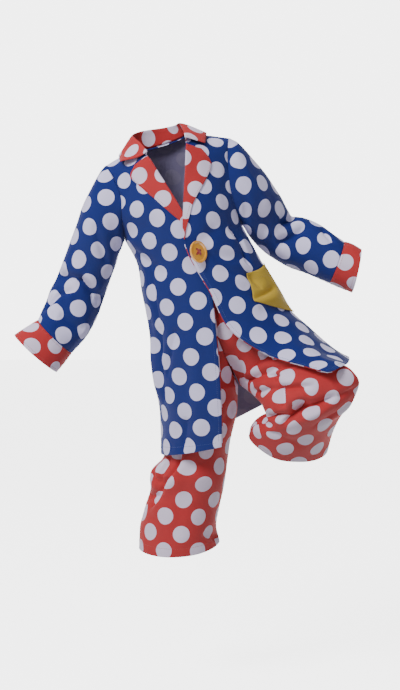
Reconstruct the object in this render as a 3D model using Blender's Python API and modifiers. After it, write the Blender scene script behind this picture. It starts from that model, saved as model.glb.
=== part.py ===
"""Clown costume: a long spotted coat and three-quarter trousers, in the form they take when worn.

The origin is the middle of the neck opening. +Z is up and -Y is the front. Every cloth piece is an
open surface between two seam lines, given a wall by Solidify. Sizes are in millimetres and turned
into metres where the meshes are made.
"""
import math

import bmesh
import bpy
import numpy as np
from mathutils import Vector

MM = 0.001
CLOTH = 1.5             # wall of a cloth piece
SEAM = 0.4              # each side of a seam stands back this far from the seam line
LEG_SEAM = 0.8          # the same on the trousers, whose rows are bent more sharply
CUFF_SEAM = 0.9         # from the sleeve's end to the start of its cuff
LYING = 0.9             # clearance between a panel and the piece that lies on it
POCKET_LYING = 1.5      # the same under the pocket, which spans a fold
COLLECTION = "clown_costume"

BLUE, RED, YELLOW, AMBER = "1C4494", "D8463C", "C9A437", "E0A028"
CLOTH_ROUGHNESS, BUTTON_ROUGHNESS = 0.8, 0.25

# --- the coat's levels: height above the hem, measured along the side seam -------------------------
COAT_LEVELS = {"hem": 0, "low": 90, "skirt": 175, "seat": 255, "waist": 345, "button": 410,
               "armpit": 460, "chest": 520, "blade": 565, "yoke": 610, "cap": 636, "shoulder": 650}
COAT_ROWS_BELOW = 16    # rows from the hem to the armpit
COAT_ROWS_ABOVE = 9     # rows from the armpit to the shoulder seam
FRONT_COLUMNS, BACK_COLUMNS = 12, 20

# --- the coat's seam lines: level, x, y, z ----------------------------------------------------------
SIDE_RIGHT = (("hem", 6, 10, -654), ("low", 3, 8, -562), ("skirt", -12, 5, -481),
              ("seat", -17, 3, -401), ("waist", -34, 0, -313), ("button", -45, 3, -250),
              ("armpit", -69, 8, -205))
SIDE_LEFT = (("hem", 398, -40, -446), ("low", 365, -35, -427), ("skirt", 320, -25, -388),
             ("seat", 278, -15, -350), ("waist", 254, -8, -310), ("button", 218, -3, -250),
             ("armpit", 177, 8, -175))
ARMHOLE_FRONT_RIGHT = (("armpit", -69, 8, -205), ("chest", -74, -36, -154), ("blade", -76, -40, -113),
                       ("yoke", -92, -24, -75), ("cap", -103, -8, -58), ("shoulder", -110, 8, -49))
ARMHOLE_BACK_RIGHT = (("armpit", -69, 8, -205), ("chest", -78, 54, -154), ("blade", -86, 58, -108),
                      ("yoke", -98, 40, -70), ("cap", -106, 25, -54), ("shoulder", -110, 8, -49))
ARMHOLE_FRONT_LEFT = (("armpit", 177, 8, -175), ("chest", 159, -36, -130), ("blade", 149, -40, -84),
                      ("yoke", 146, -24, -31), ("cap", 147, -8, -2), ("shoulder", 149, 8, 9))
ARMHOLE_BACK_LEFT = (("armpit", 177, 8, -175), ("chest", 167, 54, -132), ("blade", 158, 58, -80),
                     ("yoke", 150, 40, -27), ("cap", 150, 25, 0), ("shoulder", 149, 8, 9))
# The front edges run up from the hem, turn into the roll of the lapel and end at the neck point.
EDGE_RIGHT = (("hem", 133, -120, -625), ("low", 133, -122, -569), ("skirt", 129, -119, -484),
              ("seat", 122, -116, -398), ("waist", 115, -112, -325), ("button", 102, -107, -241),
              ("armpit", 80, -106, -194), ("chest", 43, -98, -127), ("blade", 6, -78, -68),
              ("yoke", -21, -57, -29), ("shoulder", -52, 5, -14))
EDGE_LEFT = (("hem", 340, -232, -462), ("low", 294, -200, -451), ("skirt", 218, -152, -430),
             ("seat", 149, -132, -383), ("waist", 108, -126, -306), ("button", 67, -120, -235),
             ("armpit", 54, -116, -194), ("chest", 54, -103, -127), ("blade", 57, -80, -64),
             ("yoke", 59, -57, -2), ("shoulder", 63, 5, 20))
# level, angle at which a row leaves the side or armhole (degrees), how far it has become the top seam
FRONT_SHAPE = (("hem", 0, 0.0), ("armpit", 4, 0.0), ("chest", 28, 0.0), ("blade", 38, 0.0),
               ("yoke", 42, 0.35), ("shoulder", 45, 1.0))
BACK_SHAPE = (("hem", 0, 0.0), ("armpit", 0, 0.0), ("chest", 28, 0.0), ("blade", 34, 0.15),
              ("yoke", 38, 0.6), ("shoulder", 45, 1.0))
# level, reach of the back's middle from the line between its sides (x, y, z)
BACK_REACH = (("hem", 0, 140, -24), ("low", 0, 138, -18), ("skirt", 0, 134, -12), ("seat", 0, 128, -6),
              ("waist", 0, 112, 0), ("button", 0, 104, 0), ("armpit", 0, 98, 0), ("chest", 0, 52, 0),
              ("blade", 0, 45, 0), ("yoke", 0, 34, 0), ("shoulder", 0, 30, 0))
NECK_BACK_REACH = (0, 45, -8)
SHOULDER_SHARE = 0.3    # share of the back's top row that each shoulder seam takes

# --- sleeves: distance along from the armhole, outer x y z, inner x y z, half depth -------------------
SLEEVE_RIGHT = ((25, -126, 8, -70, -76, 10, -221, 52), (45, -147, 8, -108, -81, 12, -231, 56),
                (85, -170, 10, -169, -88, 15, -255, 56), (125, -188, 15, -219, -99, 18, -284, 52),
                (175, -213, 18, -282, -113, 20, -324, 50), (208, -229, 10, -315, -128, 10, -366, 49),
                (242, -240, -12, -348, -149, -8, -405, 48), (278, -249, -33, -369, -179, -28, -439, 46))
SLEEVE_LEFT = ((25, 168, 12, -3, 182, 12, -181, 52), (50, 201, 18, -38, 189, 20, -193, 56),
               (80, 229, 30, -71, 202, 32, -209, 56), (115, 257, 48, -111, 217, 48, -224, 53),
               (150, 280, 62, -150, 239, 58, -241, 50), (176, 306, 55, -156, 273, 52, -261, 49),
               (212, 346, 35, -175, 312, 32, -275, 48), (252, 391, 12, -207, 359, 10, -295, 46))
CUFF_RIGHT = ((0, -249, -33, -369, -179, -28, -439, 46), (26, -270, -52, -382, -192, -44, -457, 46),
              (55, -294, -74, -398, -208, -62, -476, 46))
CUFF_LEFT = ((0, 391, 12, -207, 359, 10, -295, 46), (22, 409, 5, -212, 382, 3, -305, 46),
             (44, 426, -2, -223, 406, -4, -314, 45))
SLEEVE_COLUMNS, SLEEVE_ROWS, CUFF_ROWS = 18, 14, 2

# --- collar: points of the roll and of the fall's edge, from the right end round to the left end -----
COLLAR_ROLL = ((-21, -63, -21), (-35, -34, -3), (-52, 4, 14), (-37, 36, 23), (0, 49, 30), (33, 36, 36),
               (45, 4, 39), (54, -32, 23), (58, -63, 8))
COLLAR_FALL = ((-77, -48, -40), (-79, -22, -36), (-80, 10, -26), (-57, 63, -28), (5, 85, -20),
               (72, 63, -2), (99, 12, 20), (101, -22, 10), (99, -48, -3))
COLLAR_COLUMNS, COLLAR_ROWS = 24, 5
COLLAR_STAND_SHARE = 0.6            # height on the stand of the first point above the neckline
COLLAR_SHOULDER = 0.32              # share of the fall where it bulges, or drops at the gorge
COLLAR_LIFT = ((0.0, -5), (0.10, 3), (0.90, 3), (1.0, 0))  # share of the run, how far up

# --- lapels and facings ---------------------------------------------------------------------------------
# height above the hem, share of the row from the roll to the lapel's outer edge
LAPEL_RIGHT = ((452, 0.015), (470, 0.05), (492, 0.09), (516, 0.195), (534, 0.28), (550, 0.38),
               (568, 0.48), (580, 0.55), (588, 0.57), (596, 0.51), (606, 0.34))
LAPEL_LEFT = ((452, 0.012), (470, 0.035), (492, 0.08), (516, 0.135), (534, 0.23), (550, 0.34),
              (568, 0.46), (580, 0.54), (588, 0.56), (596, 0.50), (606, 0.34))
LAPEL_ROWS, LAPEL_COLUMNS = 14, 4
FACING_WIDTH = 38
FACING_ROWS, FACING_COLUMNS = 13, 3
FACING_TOP = 440

# --- pocket on the left front: corners as share of the row from the side, and height above the hem ------
POCKET_CORNERS = (("bottom_side", 0.02, 244), ("bottom_front", 0.62, 320),
                  ("top_side", 0.02, 408), ("top_front", 0.485, 388))
POCKET_ROWS, POCKET_COLUMNS = 7, 7

# --- button --------------------------------------------------------------------------------------------
BUTTON_AT = (0.92, 418)             # share of the row, height above the hem
BUTTON_TIP = 33                     # degrees that its buttonhole tips it towards the side seam
BUTTON_REST = -0.4                  # its lower edge over the cloth's plane at its middle
BUTTON_RADIUS, BUTTON_THICK, BUTTON_RIM, BUTTON_DISH = 23.0, 4.5, 3.5, 1.4
BUTTON_UNDER_EDGE, BUTTON_TOP_EDGE, BUTTON_DISH_RUN = 1.5, 1.2, 2.0
BUTTON_HOLE_RADIUS, BUTTON_HOLE_PITCH = 1.7, 5.2
BUTTON_SIDES, HOLE_SIDES = 28, 8

# --- trousers: distance down from the waist ---------------------------------------------------------------
# along, outer x y z, inner x y z
LEG_RIGHT = (("waist", 0, -10, 5, -315, 96, -88, -309), ("hip", 60, -8, 3, -376, 117, -98, -383),
             ("seat", 120, 0, 3, -439, 142, -72, -446), ("crotch", 190, 6, 3, -511, 168, -5, -508),
             ("thigh", 250, 18, 0, -572, 165, 0, -566), ("above", 300, 18, 0, -627, 152, 0, -627),
             ("under", 335, 9, 0, -664, 147, 0, -663), ("knee", 362, -14, -5, -688, 144, -5, -688),
             ("calf", 400, -16, 0, -727, 138, 0, -727), ("shin", 440, -28, 0, -767, 129, 0, -767),
             ("low", 488, -39, 0, -814, 123, 0, -810), ("hem", 522, -40, 0, -850, 129, 0, -838))
LEG_LEFT = (("waist", 0, 206, 5, -300, 96, -88, -309), ("hip", 50, 233, -5, -342, 117, -98, -383),
            ("seat", 100, 253, -30, -370, 142, -72, -446), ("crotch", 140, 268, -55, -396, 172, -5, -508),
            ("thigh", 180, 298, -88, -414, 194, -45, -521), ("mid", 220, 331, -118, -427, 216, -85, -538),
            ("above", 262, 361, -146, -448, 222, -112, -554), ("knee", 300, 392, -170, -462, 225, -124, -565),
            ("cap", 326, 408, -178, -485, 227, -124, -571), ("under", 352, 401, -164, -514, 224, -114, -576),
            ("shin", 394, 379, -140, -547, 212, -94, -580), ("low", 440, 364, -105, -588, 197, -72, -587),
            ("hem", 490, 354, -65, -630, 191, -50, -603))
# centre back seam of the seat, from the waist to just above the crotch
SEAT_BACK = (("waist", 97, 88, -310), ("hip", 118, 98, -382), ("seat", 144, 78, -440))
# level, angle where the front row ends, its reach x y z, angle where the back row ends, its reach x y z
SHAPE_RIGHT = (("waist", 90, 0, -93, 0, 90, 0, 83, 0), ("hip", 90, 0, -101, 0, 90, 0, 95, 0),
               ("seat", 122, 0, -92, 0, 118, 0, 92, 0), ("crotch", 180, 0, -80, 0, 180, 0, 86, 0),
               ("thigh", 180, 0, -76, 0, 180, 0, 84, 0), ("above", 180, 0, -74, -2, 180, 0, 80, 2),
               ("under", 180, 0, -74, -4, 180, 0, 78, 4), ("knee", 180, 0, -76, -6, 180, 0, 76, 6),
               ("calf", 180, 0, -76, -8, 180, 0, 76, 8), ("shin", 180, 0, -78, -11, 180, 0, 77, 10),
               ("low", 180, 0, -80, -14, 180, 0, 78, 12), ("hem", 180, 0, -80, -16, 180, 0, 78, 12))
SHAPE_LEFT = (("waist", 90, 0, -93, 0, 90, 0, 83, 0), ("hip", 90, -4, -93, 2, 90, 4, 103, -2),
              ("seat", 116, -8, -78, 4, 114, 8, 100, -8), ("crotch", 180, -4, -66, 8, 180, 8, 78, -14),
              ("thigh", 180, -22, -60, 13, 180, 26, 62, -15), ("mid", 180, -28, -60, 16, 180, 28, 60, -16),
              ("above", 180, -14, -60, 14, 180, 13, 58, -13), ("knee", 180, -4, -62, 5, 180, 3, 56, -5),
              ("cap", 180, 2, -60, -7, 180, -2, 52, 6), ("under", 180, 0, -56, -19, 180, 0, 46, 16),
              ("shin", 180, -9, -52, -29, 180, 7, 44, 24), ("low", 180, -8, -50, -34, 180, 6, 46, 30),
              ("hem", 180, -4, -48, -40, 180, 2, 46, 36))
LEG_ROWS, LEG_COLUMNS = 21, 10
WAISTBAND = (0, 0, 30)              # from the trousers' waist to the band's top edge
WAISTBAND_COLUMNS, WAISTBAND_ROWS = 8, 2    # columns of a quarter of the band

# --- folds: start share, start height, end share, end height, half width, depth (- is a trough) -------
FOLD_FADE = 0.08                    # folds die out over this share of a row beside a seam
FOLDS_FRONT_RIGHT = ((0.30, 20, 0.36, 300, 22, 5), (0.62, 0, 0.66, 240, 18, -4),
                     (0.74, 0, 0.76, 330, 16, 3), (0.15, 440, 0.55, 380, 18, -4))
FOLDS_FRONT_LEFT = ((0.62, 0, 0.70, 200, 16, 3), (0.35, 0, 0.45, 170, 18, -4),
                    (0.10, 250, 0.60, 300, 30, -4), (0.20, 430, 0.70, 330, 20, -4))
FOLDS_BACK = ((0.18, 0, 0.22, 300, 30, 7), (0.34, 0, 0.34, 330, 26, -7), (0.50, 0, 0.48, 360, 30, 7),
              (0.66, 0, 0.62, 320, 26, -7), (0.82, 0, 0.76, 300, 28, 6), (0.15, 470, 0.35, 380, 22, -5),
              (0.85, 470, 0.65, 380, 22, -5))
FOLDS_SLEEVE_RIGHT = ((0.08, 205, 0.36, 178, 11, -6), (0.10, 232, 0.40, 222, 9, -4),
                      (0.12, 150, 0.34, 110, 12, -4), (0.62, 200, 0.90, 215, 12, -5))
FOLDS_SLEEVE_LEFT = ((0.48, 172, 0.28, 160, 8, -7), (0.50, 172, 0.70, 160, 8, -6),
                     (0.30, 40, 0.22, 140, 12, -4), (0.62, 200, 0.86, 230, 12, -4))
FOLDS_LEG_RIGHT = ((0.05, 360, 0.42, 392, 9, -7), (0.06, 405, 0.38, 372, 8, -5),
                   (0.05, 440, 0.40, 418, 10, -6), (0.50, 300, 0.46, 500, 16, -4),
                   (0.86, 220, 0.55, 340, 14, -4))
FOLDS_LEG_LEFT = ((0.96, 296, 0.70, 322, 10, -8), (0.76, 322, 0.54, 310, 9, -9),
                  (0.58, 311, 0.34, 328, 9, -7), (0.36, 328, 0.12, 339, 10, -4),
                  (0.76, 178, 0.38, 251, 10, -6), (0.78, 210, 0.41, 272, 9, -5),
                  (0.76, 242, 0.45, 296, 9, -5), (0.45, 372, 0.10, 350, 10, -5),
                  (0.80, 380, 0.40, 450, 12, -4))
FOLDS_LEG_BACK = ((0.20, 240, 0.80, 200, 16, -5), (0.15, 330, 0.75, 345, 14, -5),
                  (0.30, 420, 0.80, 395, 14, -4))
FRONT_WIDTH, BACK_WIDTH, SLEEVE_ROUND, LEG_WIDTH = 200, 560, 320, 230


# ---------------------------------------------------------------------------------------------------
# Curves and surfaces
# ---------------------------------------------------------------------------------------------------
def hermite(t, span, value_0, slope_0, value_1, slope_1):
    """Cubic between two values with given slopes; t runs from 0 to 1 over the span."""
    return ((2 * t ** 3 - 3 * t ** 2 + 1) * value_0 + (t ** 3 - 2 * t ** 2 + t) * span * slope_0
            + (3 * t ** 2 - 2 * t ** 3) * value_1 + (t ** 3 - t ** 2) * span * slope_1)


def smooth(knots, values, at):
    """Hermite curve through the values at the knots, read at any places between them."""
    knots, values = np.asarray(knots, float), np.asarray(values, float)
    slopes = np.gradient(values, knots, axis=0)
    at = np.asarray(at, float)
    cell = np.clip(np.searchsorted(knots, at, side="right") - 1, 0, len(knots) - 2)
    trailing = at.shape + (1,) * (values.ndim - 1)
    span = (knots[cell + 1] - knots[cell]).reshape(trailing)
    t = (at - knots[cell]).reshape(trailing) / span
    return hermite(t, span, values[cell], slopes[cell], values[cell + 1], slopes[cell + 1])


def coat_line(table, heights):
    """A seam line of the coat, from a table of level, x, y, z."""
    return smooth([COAT_LEVELS[row[0]] for row in table], [row[1:] for row in table], heights)


def side_line(side, armhole, heights):
    """The side seam up to the armpit and the armhole above it; the line may turn at the armpit."""
    heights = np.asarray(heights, float)
    armpit = COAT_LEVELS["armpit"]
    below = coat_line(side, np.minimum(heights, armpit))
    above = coat_line(armhole, np.maximum(heights, armpit))
    return np.where((heights <= armpit)[..., None], below, above)


def by_level(table, heights):
    """Columns of a coat table, read straight between its levels."""
    knots = [COAT_LEVELS[row[0]] for row in table]
    return [np.interp(heights, knots, column) for column in list(zip(*table))[1:]]


def arc(start, end, reach, turn_from, turn_to, share):
    """Elliptical arc from start to end; reach is its half axis across, the turns are in radians."""
    turn = (turn_from + (turn_to - turn_from) * share)[..., None]
    turn_from, turn_to = turn_from[..., None], turn_to[..., None]
    along = (start - end - reach * (np.sin(turn_from) - np.sin(turn_to))) / (
        np.cos(turn_from) - np.cos(turn_to))
    centre = start - along * np.cos(turn_from) - reach * np.sin(turn_from)
    return centre + along * np.cos(turn) + reach * np.sin(turn)


def folds_at(folds, share, along, width):
    """Height of the folds: soft ridges and troughs along short lines that taper at both ends."""
    total = np.zeros(np.broadcast(share, along).shape)
    for share_0, along_0, share_1, along_1, half_width, depth in folds:
        run = np.array([(share_1 - share_0) * width, along_1 - along_0], float)
        place = np.stack(np.broadcast_arrays((share - share_0) * width, along - along_0), axis=-1)
        t = np.clip(place @ run / (run @ run), 0, 1)
        away = np.linalg.norm(place - t[..., None] * run, axis=-1)
        total += depth * np.exp(-(away / half_width) ** 2) * (1 - (2 * t - 1) ** 4)
    return total


def seam_fade(share):
    """1 in the field of a piece, falling to 0 at the seams on its two sides."""
    near = np.clip(np.minimum(share, 1 - share) / FOLD_FADE, 0, 1)
    return near * near * (3 - 2 * near)


def normals_of(surface, share, along, outward):
    """Unit normals of a surface function, by small steps each way; outward is +1 or -1."""
    step_share, step_along = 0.002, 0.5
    across = surface(share + step_share, along) - surface(share - step_share, along)
    run = surface(share, along + step_along) - surface(share, along - step_along)
    normal = np.cross(across, run) * outward
    return normal / np.maximum(np.linalg.norm(normal, axis=-1, keepdims=True), 1e-9)


def raised(surface, folds, width, outward):
    """The surface with its folds on it, as a new function that also takes a distance to move out."""
    def folded(share, along, out=0.0):
        normal = normals_of(surface, share, along, outward)
        height = folds_at(folds, share, along, width) * seam_fade(share) + out
        return surface(share, along) + normal * height[..., None]
    return folded


def front_surface(side, armhole, edge):
    """A front: each row is a quarter of an ellipse from the side to the front edge."""
    def surface(share, height):
        start, end = side_line(side, armhole, height), coat_line(edge, height)
        leave, straight = by_level(FRONT_SHAPE, height)
        turn_from = np.radians(leave)
        reach = np.zeros(start.shape)
        reach[..., 1] = (end - start)[..., 1] / (1 - np.sin(turn_from))
        row = arc(start, end, reach, turn_from, np.full(turn_from.shape, math.pi / 2), share)
        seam = start + (end - start) * share[..., None]
        return row + (seam - row) * straight[..., None]
    return surface


def back_top(share):
    """The back's top row: shoulder seam, neckline, shoulder seam."""
    top_right, top_left = (np.array(t[-1][1:], float) for t in (ARMHOLE_BACK_RIGHT, ARMHOLE_BACK_LEFT))
    neck_right, neck_left = (np.array(t[-1][1:], float) for t in (EDGE_RIGHT, EDGE_LEFT))
    s = SHOULDER_SHARE
    first = np.clip(share / s, 0, 1)[..., None]
    last = np.clip((share - 1 + s) / s, 0, 1)[..., None]
    middle = np.clip((share - s) / (1 - 2 * s), 0, 1)
    neck = neckline_back(neck_right, neck_left, middle)
    return np.where(first < 1, top_right + (neck_right - top_right) * first,
                    np.where(last > 0, neck_left + (top_left - neck_left) * last, neck))


def neckline_back(neck_right, neck_left, share):
    """The back neckline, half an ellipse between the neck points."""
    zero, half_turn = np.zeros(share.shape), np.full(share.shape, math.pi)
    return arc(neck_right, neck_left, np.array(NECK_BACK_REACH, float), zero, half_turn, share)


def back_surface(share, height):
    """The back: each row is half an ellipse between the sides, which turns into the top row."""
    start = side_line(SIDE_RIGHT, ARMHOLE_BACK_RIGHT, height)
    end = side_line(SIDE_LEFT, ARMHOLE_BACK_LEFT, height)
    leave, becoming_top = by_level(BACK_SHAPE, height)
    turn_from = np.radians(leave)
    reach = np.stack(by_level(BACK_REACH, height), axis=-1) / (1 - np.sin(turn_from))[..., None]
    row = arc(start, end, reach, turn_from, math.pi - turn_from, share)
    top = back_top(share)
    ends = np.array([0.0, 1.0])
    top_start, top_end = back_top(ends)
    s = share[..., None]
    carried = top + (start - top_start) * (1 - s) + (end - top_end) * s
    return row + (carried - row) * becoming_top[..., None]


def armhole_ring(front, back, share):
    """The closed armhole, from the armpit up the front to the shoulder and down the back."""
    armpit, top = COAT_LEVELS["armpit"], COAT_LEVELS["shoulder"]
    height = top - np.abs(1 - 2 * share) * (top - armpit)
    return np.where((share < 0.5)[..., None], coat_line(front, height), coat_line(back, height))


def ring_of(row, share):
    """One elliptical ring of a tube: row is along, outer point, inner point, half depth."""
    outer, inner, depth = np.array(row[1:4], float), np.array(row[4:7], float), row[7]
    turn = (2 * math.pi * share)[..., None]
    across = np.array([0.0, depth, 0.0])
    return (outer + inner) / 2 + (inner - outer) / 2 * np.cos(turn) - across * np.sin(turn)


def tube_surface(table, first_ring=None):
    """A sleeve or cuff: rings carried along; share 0 is the inner seam and 0.25 the front."""
    def surface(share, along):
        share = np.mod(share, 1.0)
        knots = [row[0] for row in table]
        rings = [ring_of(row, share) for row in table]
        if first_ring is not None:
            knots.insert(0, 0)
            rings.insert(0, armhole_ring(*first_ring, share))
        knots, rings = np.array(knots, float), np.array(rings)
        slopes = np.gradient(rings, knots, axis=0)
        cell = np.clip(np.searchsorted(knots, along, side="right") - 1, 0, len(knots) - 2)
        span = (knots[cell + 1] - knots[cell])[..., None]
        t = (along - knots[cell])[..., None] / span
        here = np.indices(cell.shape)
        return hermite(t, span, rings[(cell, *here)], slopes[(cell, *here)],
                       rings[(cell + 1, *here)], slopes[(cell + 1, *here)])
    return surface


def leg_surface(leg, shape, back):
    """A leg panel: rows from the outer seam to the centre seam, and below the crotch to the inseam."""
    knots = [row[1] for row in leg]
    outer = [row[2:5] for row in leg]
    inner = [row[5:8] for row in leg]
    if back:
        inner[:len(SEAT_BACK)] = [row[1:] for row in SEAT_BACK]
    turns = np.radians([row[5] if back else row[1] for row in shape])
    reaches = [row[6:9] if back else row[2:5] for row in shape]

    crotch = len(SEAT_BACK)

    def surface(share, along):
        start = smooth(knots, outer, along)
        seat_end = smooth(knots[:crotch + 1], inner[:crotch + 1], np.minimum(along, knots[crotch]))
        leg_end = smooth(knots[crotch:], inner[crotch:], np.maximum(along, knots[crotch]))
        end = np.where((along <= knots[crotch])[..., None], seat_end, leg_end)
        turn_to = np.interp(along, knots, turns)
        return arc(start, end, smooth(knots, reaches, along), np.zeros(along.shape), turn_to, share)
    return surface


# ---------------------------------------------------------------------------------------------------
# Meshes and objects
# ---------------------------------------------------------------------------------------------------
def material(name, colour, roughness):
    """Principled material of one flat colour, given as sRGB hex."""
    channels = [int(colour[i:i + 2], 16) / 255 for i in (0, 2, 4)]
    linear = [c / 12.92 if c <= 0.04045 else ((c + 0.055) / 1.055) ** 2.4 for c in channels]
    made = bpy.data.materials.new(name)
    made.use_nodes = True
    shader = made.node_tree.nodes["Principled BSDF"]
    shader.inputs["Base Color"].default_value = (*linear, 1)
    shader.inputs["Roughness"].default_value = roughness
    return made


def new_object(collection, name, mesh, colour, roughness=CLOTH_ROUGHNESS):
    """Object with its own material, in the costume's collection."""
    obj = bpy.data.objects.new(name, mesh)
    mesh.materials.append(material(name + "_material", colour, roughness))
    collection.objects.link(obj)
    return obj


def cloth(collection, name, grid, colour, closed=False, flip=False):
    """Cloth piece from a grid of its outer points in millimetres; closed joins its last column to its
    first, and flip turns its outer side over."""
    rows, columns = grid.shape[:2]
    index = np.arange(rows * columns).reshape(rows, columns)
    if closed:
        index = np.concatenate([index, index[:, :1]], axis=1)
    corners = index[:-1, :-1], index[:-1, 1:], index[1:, 1:], index[1:, :-1]
    quads = np.stack(corners, axis=-1).reshape(-1, len(corners))
    if flip:
        quads = quads[:, ::-1]
    mesh = bpy.data.meshes.new(name)
    mesh.from_pydata((grid.reshape(-1, 3) * MM).tolist(), [], quads.tolist())
    mesh.shade_smooth()
    obj = new_object(collection, name, mesh, colour)
    wall = obj.modifiers.new("wall", "SOLIDIFY")
    wall.thickness = CLOTH * MM
    wall.offset = -1


def mesh_grid(shares, alongs):
    """Grid of shares and distances, one row for each distance."""
    along, share = np.meshgrid(alongs, shares, indexing="ij")
    return share, along


def coat_heights():
    """Heights of the coat's rows, with one at the armpit."""
    armpit, top = COAT_LEVELS["armpit"], COAT_LEVELS["shoulder"]
    return np.concatenate([np.linspace(0, armpit, COAT_ROWS_BELOW + 1),
                           np.linspace(armpit, top - 2 * SEAM, COAT_ROWS_ABOVE + 1)[1:]])


def trimmed(count, width, seam=SEAM):
    """Evenly spaced shares of a row that stop short of the seam at each end."""
    inset = seam / width
    return np.linspace(inset, 1 - inset, count + 1)


def make_fronts(collection):
    """Both coat fronts; returns their folded surfaces for what lies on them."""
    surfaces = {}
    for hand, side, armhole, edge, folds, outward in (
            ("right", SIDE_RIGHT, ARMHOLE_FRONT_RIGHT, EDGE_RIGHT, FOLDS_FRONT_RIGHT, 1),
            ("left", SIDE_LEFT, ARMHOLE_FRONT_LEFT, EDGE_LEFT, FOLDS_FRONT_LEFT, -1)):
        surface = raised(front_surface(side, armhole, edge), folds, FRONT_WIDTH, outward)
        share, height = mesh_grid(trimmed(FRONT_COLUMNS, FRONT_WIDTH), coat_heights())
        cloth(collection, f"coat_front_{hand}", surface(share, height), BLUE, flip=outward < 0)
        surfaces[hand] = surface
    return surfaces


def make_back(collection):
    """The back in one piece."""
    surface = raised(back_surface, FOLDS_BACK, BACK_WIDTH, -1)
    share, height = mesh_grid(trimmed(BACK_COLUMNS, BACK_WIDTH), coat_heights())
    cloth(collection, "coat_back", surface(share, height), BLUE, flip=True)


def make_sleeves(collection):
    """Sleeves from the armholes and the cuffs that end them."""
    shares = np.linspace(0, 1, SLEEVE_COLUMNS, endpoint=False)
    for hand, table, armholes, folds, cuff, outward in (
            ("right", SLEEVE_RIGHT, (ARMHOLE_FRONT_RIGHT, ARMHOLE_BACK_RIGHT), FOLDS_SLEEVE_RIGHT,
             CUFF_RIGHT, 1),
            ("left", SLEEVE_LEFT, (ARMHOLE_FRONT_LEFT, ARMHOLE_BACK_LEFT), FOLDS_SLEEVE_LEFT,
             CUFF_LEFT, -1)):
        sleeve = raised(tube_surface(table, armholes), folds, SLEEVE_ROUND, outward)
        share, along = mesh_grid(shares, np.linspace(4 * SEAM, table[-1][0], SLEEVE_ROWS + 1))
        cloth(collection, f"sleeve_{hand}", sleeve(share, along), BLUE, closed=True, flip=outward < 0)
        band = raised(tube_surface(cuff), (), SLEEVE_ROUND, outward)
        share, along = mesh_grid(shares, np.linspace(CUFF_SEAM, cuff[-1][0], CUFF_ROWS + 1))
        cloth(collection, f"cuff_{hand}", band(share, along), RED, closed=True, flip=outward < 0)


def collar_stations():
    """Neckline, roll and fall points from the right end round the back to the left end."""
    top, gorge = COAT_LEVELS["shoulder"], COAT_LEVELS["yoke"]
    heights = np.linspace(gorge, top, 4)
    right, left = coat_line(EDGE_RIGHT, heights), coat_line(EDGE_LEFT, heights)[::-1]
    behind = neckline_back(right[-1], left[0], np.linspace(0, 1, 7)[1:-1])
    neckline = np.concatenate([right, behind, left])
    return neckline, COLLAR_ROLL, COLLAR_FALL


def make_collar(collection):
    """Stand and fall: each column rises from the neckline, turns over the roll and comes down outside."""
    run = np.linspace(0, 1, COLLAR_COLUMNS + 1)
    neck, roll, fall = (smooth(np.linspace(0, 1, len(points)), points, run)
                        for points in collar_stations())
    rise = roll - neck
    neck = neck + rise / np.linalg.norm(rise, axis=1, keepdims=True) * 2 * SEAM
    stand = neck + (roll - neck) * COLLAR_STAND_SHARE
    lift = np.interp(run, *zip(*COLLAR_LIFT))
    shoulder = roll + (fall - roll) * COLLAR_SHOULDER + lift[:, None] * np.array([0, 0, 1])
    profile = np.stack([neck, stand, roll, shoulder, fall])
    grid = smooth(np.linspace(0, 1, len(profile)), profile, np.linspace(0, 1, COLLAR_ROWS + 2))
    cloth(collection, "collar", grid, RED)


def make_lapels_and_facings(collection, fronts):
    """Lapels lie on the fronts from the roll outwards; facings line the edges below them."""
    for hand, outline, outward in (("right", LAPEL_RIGHT, 1), ("left", LAPEL_LEFT, -1)):
        heights = np.linspace(outline[0][0], outline[-1][0], LAPEL_ROWS + 1)
        width = np.interp(heights, *zip(*outline))
        t = np.linspace(0, 1, LAPEL_COLUMNS + 1)
        share = 1 - SEAM / FRONT_WIDTH - width[:, None] * (1 - t)[None, :]
        height = np.repeat(heights[:, None], len(t), axis=1)
        grid = fronts[hand](share, height, CLOTH + LYING)
        cloth(collection, f"lapel_{hand}", grid, RED, flip=outward < 0)
        heights = np.linspace(0, FACING_TOP, FACING_ROWS + 1)
        t = np.linspace(0, 1, FACING_COLUMNS + 1)
        share = 1 - SEAM / FRONT_WIDTH - FACING_WIDTH / FRONT_WIDTH * (1 - t)[None, :]
        share, height = np.broadcast_arrays(share, heights[:, None])
        grid = fronts[hand](share, height, -CLOTH - LYING)
        cloth(collection, f"front_facing_{hand}", grid, RED, flip=outward < 0)


def make_pocket(collection, front):
    """Patch pocket that wraps the side of the left front."""
    corner = {name: np.array([share, height], float) for name, share, height in POCKET_CORNERS}
    across, up = np.meshgrid(np.linspace(0, 1, POCKET_COLUMNS + 1), np.linspace(0, 1, POCKET_ROWS + 1))
    across, up = across[..., None], up[..., None]
    low = corner["bottom_side"] * (1 - across) + corner["bottom_front"] * across
    high = corner["top_side"] * (1 - across) + corner["top_front"] * across
    place = low * (1 - up) + high * up
    grid = front(place[..., 0], place[..., 1], CLOTH + POCKET_LYING)
    cloth(collection, "pocket_left", grid, YELLOW, flip=True)


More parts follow.
